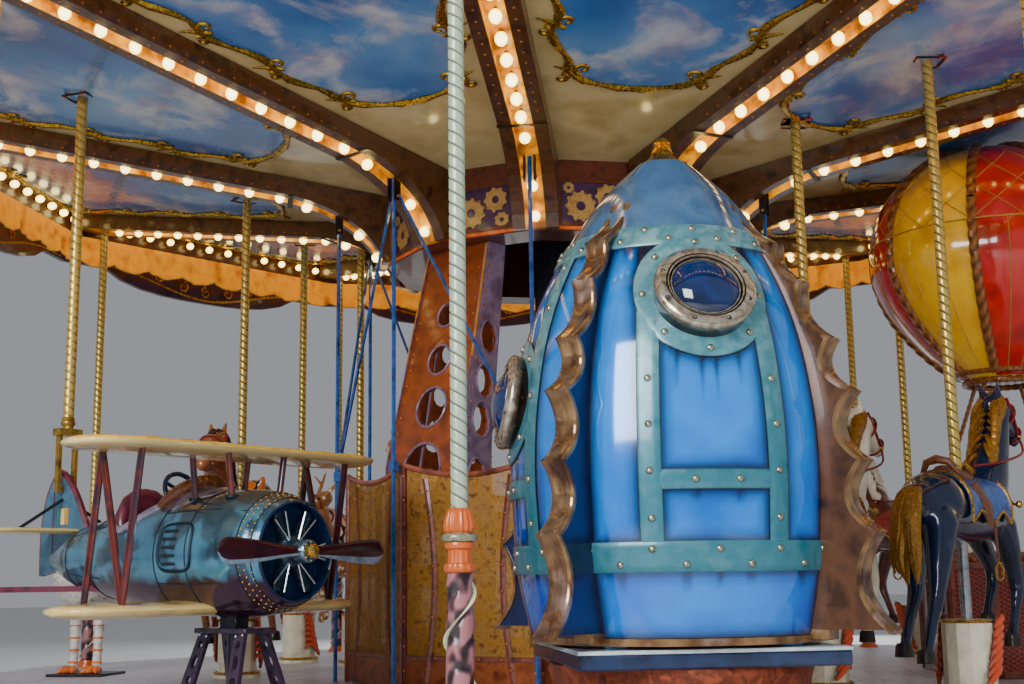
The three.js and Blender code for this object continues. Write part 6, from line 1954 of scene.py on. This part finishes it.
def horse(name, mane, cloth, slot):
    body = name + "_rider"
    stand = figureStand(name)
    moulded(name.replace("_", "") + "Body", horseLimbs, .018, body, coats[name], [name], stand)
    gallopPole(name, body, plan["deckTop"] + .19)
    tack = Form(stand)
    crest = smoothLine(points(".3 0 1.5, .37 0 1.66, .43 0 1.8, .47 0 1.9, .53 0 1.945"), 14)
    hairTufts(tack, crest, 13, .16, -.07)
    forelock = [Vector((.53, 0, 1.945)), Vector((.6, 0, 1.93)), Vector((.65, 0, 1.88))]
    tack.add(sweep(forelock, [.028, .026, .008], 6, .6))
    pick = random.Random(5)
    for k in range(15):
        y = pick.uniform(-.04, .04)
        fall = [(-.46, y * .4, 1.4), (-.55, y, 1.36), (-.62, y * 1.4, 1.22 + pick.uniform(-.03, .03)),
                (-.64 + pick.uniform(-.02, .03), y * 1.7, 1.04),
                (-.62 + pick.uniform(-.04, .03), y * 1.5, .92 + .05 * (k % 3))]
        tack.add(sweep(smoothLine(fall, 12),
            [.012, .02, .026, .03, .032, .032, .03, .028, .024, .018, .012, .004], 6, .7))
    verts, faces = [], []
    rows, cols = 18, 24
    for out in (.012, 0.0):  # saddle cloth hugging the barrel
        for j in range(rows + 1):
            x = -.24 + .48 * j / rows
            r = float(np.interp(x, [-.33, -.1, .12, .3], [.172, .16, .162, .16])) + .006 + out
            zc = float(np.interp(x, [-.33, -.1, .12, .3], [1.315, 1.285, 1.285, 1.31]))
            for k in range(cols + 1):
                reach = 98 + 10 * cos(4 * pi * j / rows)
                a = radians(-reach + 2 * reach * k / cols)
                drop = .03 * max(0, abs(a) - 1.2)
                verts.append((x, r * sin(a), zc + r * cos(a) - drop))
    page, line = (rows + 1) * (cols + 1), cols + 1
    for j in range(rows):
        for k in range(cols):
            a = j * line + k
            faces += [(a, a + line, a + line + 1, a + 1),
                (page + a, page + a + 1, page + a + line + 1, page + a + line)]
    for j in range(rows):
        for a, b in ((j * line, (j + 1) * line), ((j + 1) * line + cols, j * line + cols)):
            faces.append((b, a, page + a, page + b))
    for k in range(cols):
        for a, b in ((k, k + 1), (rows * line + k + 1, rows * line + k)):
            faces.append((a, b, page + b, page + a))
    tack.add((verts, faces), 1)
    last = rows * line
    for edge in (verts[:last + line:line], verts[cols:last + line:line], verts[:line],
            verts[last:last + line]):
        tack.add(sweep(edge, .009, 6), 2)
    seat = points("-.2 0 1.5 .03, -.16 0 1.49 .06, -.08 0 1.462 .085, 0.0 0 1.452 .085, "
        ".06 0 1.462 .07, .11 0 1.5 .035")
    tack.add(sweep([p[:3] for p in seat], [p[3] for p in seat], 14, .62), 3)
    tack.add(sweep(points("-.19 .1 1.475, -.215 .06 1.535, -.22 0 1.55, -.215 -.06 1.535, -.19 -.1 1.475"),
                   [.012, .02, .024, .02, .012], 8), 3)
    tack.add(sweep([(.1, .05, 1.49), (.115, 0, 1.545), (.1, -.05, 1.49)], [.012, .02, .012], 8), 2)
    for flank in (-1, 1):
        flap = [(-.1, flank * .135, 1.42), (-.05, flank * .182, 1.3), (-.04, flank * .188, 1.2)]
        tack.add(sweep(flap, [.05, .055, .03], 10, .25, normal=(0, flank, .3)), 3)
        tack.add(sweep([(-.02, flank * .195, 1.24), (-.02, flank * .2, 1.02)], .007, 6), 3)
        stirrup = [(-.02 + p.x, flank * .2, .975 + p.y) for p in circle(.045, 12)]
        tack.add(sweep(stirrup, .007, 6, closed=True), 2)
        cheek = [(.525, flank * .078, 1.925), (.6, flank * .076, 1.83), (.705, flank * .052, 1.735)]
        tack.add(sweep(cheek, .009, 6, .5), 4)
        reins = [(.72, flank * .05, 1.72), (.58, flank * .12, 1.62), (.34, flank * .11, 1.56),
            (.14, flank * .03, 1.53)]
        tack.add(sweep(smoothLine(reins, 12), .007, 6), 4)
        tack.add(revolve(points("0 -.016, .012 -.01, .016 0, .012 .01, 0 .016"), 10), 5,
            stand @ shift((.615, flank * .072, 1.862)))
        tack.add(revolve(points("0 -.008, .014 -.004, .014 .004, 0 .008"), 8), 2,
            stand @ shift((.72, flank * .052, 1.725)))
    for spot, size in (((.727, 0, 1.735), .054), ((.6, 0, 1.835), .084)):
        loop = [(spot[0] + .018 * sinDeg(20 * k) + (.35 * size * sinDeg(20 * k)),
                 size * cosDeg(20 * k), spot[2] + size * sinDeg(20 * k) * .94) for k in range(18)]
        tack.add(sweep(loop, .009, 6, .6, closed=True), 4)
    chest = [(.345 + .1 * cosDeg(15 * k - 90), .17 * sinDeg(15 * k - 90),
        1.32 + .02 * abs(cosDeg(15 * k - 90))) for k in range(13)]
    tack.add(sweep(chest, .013, 6, .5), 4)
    for k in range(7):
        t = radians(30 * k - 90)
        tack.add(revolve(points("0 -.018, .015 -.009, .018 0, .015 .009, 0 .018"), 8), 2, stand @ shift(
            (.35 + .11 * cos(t), .176 * sin(t), 1.325 + .02 * abs(cos(t)))))
    for x, y, z in ((.44, .085, .7), (.345, -.085, .6), (-.525, .09, .58), (-.655, -.09, .56)):
        tack.add(revolve(points("0 -.004, .048 0, .042 .05, .034 .065, 0 .065"), 14), 6,
            stand @ shift((x, y, z - .01)))
    tack.piece(name.replace("_", "") + "Tack",
        [mane, cloth, trimGold, saddleBrown, strapRed, eyeDark, hoofDark], slot, body=body)


maneDark = finish("darkMane", "1a0f0a 3a2418 24160e", 20, .4, .1, .5, 5, .2)  # dark painted hair
maneWhite = finish("whiteMane", "cfc8b8 efe9da", 20, .4, 0, .5, 5, .2)  # white painted hair
# red paint over carved cloth
clothRed = finish("redPaintedCaparison", "7a1414 ac2a22 8e1c18", 60, .3, .1, .2, 5, .4)
# green paint over carved cloth
clothGreen = finish("greenPaintedCaparison", "1c5a3c 348a5c 246a48", 60, .3, .1, .2, 5, .4)
horse("horse_outer", maneGold, clothBlue, "horse_navy")
horse("horse_inner", maneGold, clothRed, "horse_cream")
horse("horse_far", maneDark, clothGreen, "horse_brown")
horse("horse_back", maneWhite, clothRed, "horse_bay")
print("horses ready")

# Tiger, deer, giraffe and bird
# cream enamel for the stripes to lie on
tigerCoat = finish("tigerStripedCoat", "efe4cc f3ead6", 200, .2, 0, .05, 8, .6)
tree, shader = parts(tigerCoat)
local, x, y, z = axes(tree)
towards = addNode(tree, "ShaderNodeMapRange", {"Value": z, "From Min": 1.3, "From Max": 1.56})
overlay(tigerCoat, towards, "c86a1e")
bend = addNode(tree, "ShaderNodeTexNoise", {"Vector": local, "Scale": 7.0, "Detail": 3.0})
tigerStand = figureStand("tiger")
ahead = tigerStand.to_3x3() @ Vector((1, 0, 0))
bands = x * (ahead.x * 62) + y * (ahead.y * 62) + Wire(bend.outputs["Fac"]) * 14.0
overlay(tigerCoat, bands.sine() > .45, "15100c")
# tan enamel patches, cream between
giraffeCoat = finish("giraffePatchedCoat", "a85a1c c8742c b4641f", 160, .2, 0, .05, 8, .6)
tree, shader = parts(giraffeCoat)
cells = addNode(tree, "ShaderNodeTexVoronoi", {"Vector": axes(tree)[0], "Scale": 9.0},
    feature="DISTANCE_TO_EDGE")
overlay(giraffeCoat, Wire(cells.outputs["Distance"]) < .055, "ecd9a8")
# fawn enamel with pale dots
deerCoat = finish("fawnDottedCoat", "7a4a26 a87040 8c5a30", 200, .22, 0, .05, 8, .6)
tree, shader = parts(deerCoat)
dots = addNode(tree, "ShaderNodeTexVoronoi", {"Vector": axes(tree)[0], "Scale": 18.0})
overlay(deerCoat, Wire(dots.outputs["Distance"]) < .28, "ece0c4")
birdCoat = finish("greyWhitePlumage", "8c8880 d8d4c8 b4afa4", 60, .4, 0, .6, 14, .2)  # pale feathers, ruffled
tree, shader = parts(birdCoat)
overlay(birdCoat, axes(tree)[3] > 1.13, "e8e0cc")

moulded("tigerBody", tigerLimbs, .016, "tiger_rider", tigerCoat, ["tiger"], tigerStand)
gallopPole("tiger", "tiger_rider", plan["deckTop"] + .19)
moulded("deerBody", deerLimbs, .013, "deer_rider", deerCoat, ["deer"], figureStand("deer"), 3)
gallopPole("deer", "deer_rider", plan["deckTop"] + .19)
moulded("giraffeBody", giraffeLimbs, .018, ride, giraffeCoat, ["giraffe"],
    figureStand("giraffe"))
gallopPole("giraffe", ride, plan["deckTop"] + .015)
birdStand = turnedBy(-102, *polar(3.41, -90 - 102).xy)
moulded("birdBody", birdLimbs, .014, ride, birdCoat, ["bird"], birdStand)

for name, back, body in (("tiger", 1.565, "tiger_rider"), ("deer", 1.225, "deer_rider"),
        ("giraffe", 1.49, ride)):
    stand = figureStand(name)
    dressing = Form(stand)
    seat = [(-.17, 0, back + .03, .03), (-.11, 0, back + .022, .07), (0.0, 0, back, .085),
        (.08, 0, back + .015, .06), (.12, 0, back + .04, .03)]
    dressing.add(sweep([p[:3] for p in seat], [p[3] for p in seat], 14, .6))
    wide = .158 if name != "deer" else .126
    girth = [(-.02, wide * sinDeg(15 * k), back - wide + .018 + wide * cosDeg(15 * k))
             for k in range(24)]
    dressing.add(sweep(girth, .014, 6, .5, closed=True), 1)
    if name == "tiger":
        collar = [(.385 + .02 * cosDeg(18 * k), .128 * sinDeg(18 * k),
                   1.565 + .128 * cosDeg(18 * k)) for k in range(20)]
        dressing.add(sweep(collar, .018, 6, .5, closed=True), 1)
    if name == "deer":
        for ring, (cx, cz, r) in enumerate(((.5, 1.502, .04), (.43, 1.555, .06))):
            loop = [(cx + .4 * r * sinDeg(20 * k), r * cosDeg(20 * k),
                     cz + r * sinDeg(20 * k)) for k in range(18)]
            dressing.add(sweep(loop, .008, 6, closed=True), 1)
    if name == "giraffe":
        loop = [(.82 + .03 * sinDeg(20 * k), .056 * cosDeg(20 * k),
                 2.19 + .05 * sinDeg(20 * k)) for k in range(18)]
        dressing.add(sweep(loop, .009, 6, closed=True), 1)
    eyes = {"tiger": (.585, .062, 1.668, .016), "deer": (.445, .052, 1.588, .014),
        "giraffe": (.79, .06, 2.315, .014)}[name]
    for flank in (-1, 1):
        dressing.add(bead(eyes[3]), 2, stand @ shift((eyes[0], flank * eyes[1], eyes[2])))
    slot = {"tiger": "tiger_paint", "deer": "deer_paint", "giraffe": "giraffe_paint"}[name]
    dressing.piece(name + "Dressing", [saddleBrown, strapRed, eyeDark], slot, body=body)

plumes = Form(birdStand)
legGrey = finish("lightGreyLegs", "b4b0a8 d6d2c8 a8a49c", 50, .35, 0, .3, 6, .3)  # scaly grey legs
footOrange = finish("bandedOrangeFeet", "b8501c e0742c c8601f", 40, .35, 0, .3, 6, .3)  # orange skin in rings
plateDark = finish("darkFootPlate", "1c1a20 302c34", 60, .4, .3, .2, 5, .2)  # dark steel plate
feather = finish("paleFeathers", "c4beb0 ece6d8 a8a296", 24, .5, 0, .4, 6, .1)  # dry pale feathers
plumes.add(block((.36, .42, .018), (0, 0, .3595), .005), 2)
for flank in (-1, 1):
    leg = [(0, flank * .09, .9), (.005, flank * .09, .78), (.01, flank * .09, .64), (.015, flank * .09, .5),
           (.02, flank * .09, .39)]
    line = smoothLine(leg, 40)
    radii = [float(np.interp(k, [0, 12, 20, 30, 39], [.052, .042, .034, .03, .034]))
        * (1 + .06 * sin(k * 2.2)) for k in range(40)]
    plumes.add(sweep(line, radii, 14))
    for k in range(5):
        z = .44 + .085 * k
        plumes.add(revolve([(.03, z - .008), (.038, z - .004), (.039, z), (.038, z + .004), (.03, z + .008),
            (.03, z - .008)], 16), 1, birdStand @ shift((.018 - .01 * k / 4, flank * .09, 0)))
    for swing in (-28, 0, 28):
        way = polar(1, swing)
        base = Vector((.02, flank * .09, .392))
        toe = [base, base + way * .05 + Vector((0, 0, .004)), base + way * .095 - Vector((0, 0, .006)),
               base + way * .125 - Vector((0, 0, .014))]
        plumes.add(sweep(smoothLine(toe, 12),
            [.028, .027, .026, .025, .026, .027, .025, .023, .02, .016, .011, .004], 10), 1)
    plumes.add(sweep([(.02, flank * .09, .392), (-.05, flank * .09, .385)], [.024, .01], 8), 1)
pick = random.Random(11)
for k in range(90):
    t = k / 89
    x = .22 - .52 * t
    for flank in (-1, 1):
        a = radians(pick.uniform(20, 110)) * flank
        r = float(np.interp(x, [-.26, -.15, .14, .24], [.12, .19, .18, .12])) * .99
        zc = float(np.interp(x, [-.26, .24], [.965, 1.02]))
        base = Vector((x, r * sin(a), zc + r * cos(a)))
        tipAt = base + Vector((-.085, .012 * flank, -.02))
        plumes.add(sweep([base, (base + tipAt) / 2 + Vector((0, .006 * flank, .008)), tipAt],
            [.022, .02, .004], 6, .35), 3)
for k in range(9):
    a = radians(-40 + 10 * k)
    fan = [(-.4, .04 * sin(a), 1.12), (-.52, .14 * sin(a), 1.2 + .05 * cos(a)),
           (-.62, .22 * sin(a), 1.23 + .06 * cos(a))]
    plumes.add(sweep(smoothLine(fan, 8), [.02, .03, .034, .036, .036, .034, .028, .01], 6, .4), 3)
for flank in (-1, 1):
    plumes.add(revolve(points("0 -.013, .01 -.008, .013 0, .01 .008, 0 .013"), 10), 4,
        birdStand @ shift((.325, flank * .058, 1.298)))
plumes.piece("birdPlumes", [legGrey, footOrange, plateDark, feather, eyeDark], "bird_paint")

# Pole stands: a cream cylinder with a flame-like red and orange carving at its side
standCream = finish("creamStandEnamel", "cdc5a8 e8e0c4 d8d0b4", 90, .3, 0, .1, 6, .4, .2)  # old cream enamel
# flame red carving, with painted shade at its roots
standRed = shadedReliefFinish("redOrangeCarving", "3a0e0a", "e0562a", .35, .1, .4)
repaint(standCream, "horse_stands", "tiger_stand", "deer_stand", "horse_far_stand", "horse_back_stand")
carving = Form()
for name in poleRows:
    stand = figureStand(name)
    for flank in (-1, 1):
        for k in range(7):
            z = .41 + .042 * k
            lick = [Vector((-.1 + .02 * k, flank * .128, z)), Vector((-.05 + .01 * k, flank * .15, z + .05)),
                    Vector((0.0 + .012 * k, flank * .156, z + .085)), Vector((.04, flank * .14, z + .075)),
                    Vector((.05, flank * .136, z + .045))]
            line = smoothLine(lick, 12)
            radii = [.022 * s for s in (.6, .8, .95, 1, 1, .95, .85, .75, .62, .5, .36, .15)]
            relief = []
            for j in range(12):
                relief += [.15 + .85 * max(0, sin(2 * pi * m / 8)) for m in range(8)]
            carving.add(sweep(line, radii, 8, .7, normal=(0, flank, 0)), 0, stand, relief=relief)
    for z, r in ((.385, .15), (.728, .128)):
        carving.add(sweep(circle(r, 24, z), .009, 6, closed=True), 1, stand)
giraffeStand = Form().add(revolve(points("0 .3503, .16 .3503, .16 .3703, .132 .3803, .132 .715, "
    ".122 .735, .031 .735, .031 .379, 0 .379"), 24), 0, figureStand("giraffe"))
giraffeStand.piece("giraffeStand", [standCream], "giraffe_paint")
carving.piece("standCarvings", [standRed, trimGold], "stand_cream")

brassPole = finish("brassTailPole", "6a4c1c b08c3c 8a6a2a", 60, .28, .7, .2, 5)  # handled brass, dull brown
repaint(brassPole, "tail_pole")
tailSpot = planeStand @ shift((-1.905, 0, 0))
twist, relief = ropePole(1.9, 3.8, .0315, 16, 10)
tailRope = Form().add(twist, 0, tailSpot, relief)
tailRope.add(revolve(points("0 1.868, .034 1.868, .04 1.876, .04 1.892, .034 1.9, .037 1.908, "
    ".032 1.918, 0 1.918"), 20), 1, tailSpot)
tailRope.piece("tailPoleRope", [ropeGold, brassPole], "gilded_pole")
print("figures ready")

size = {"cad": [list(cadBox[0]), list(cadBox[1])], "shown": [list(side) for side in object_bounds()]}
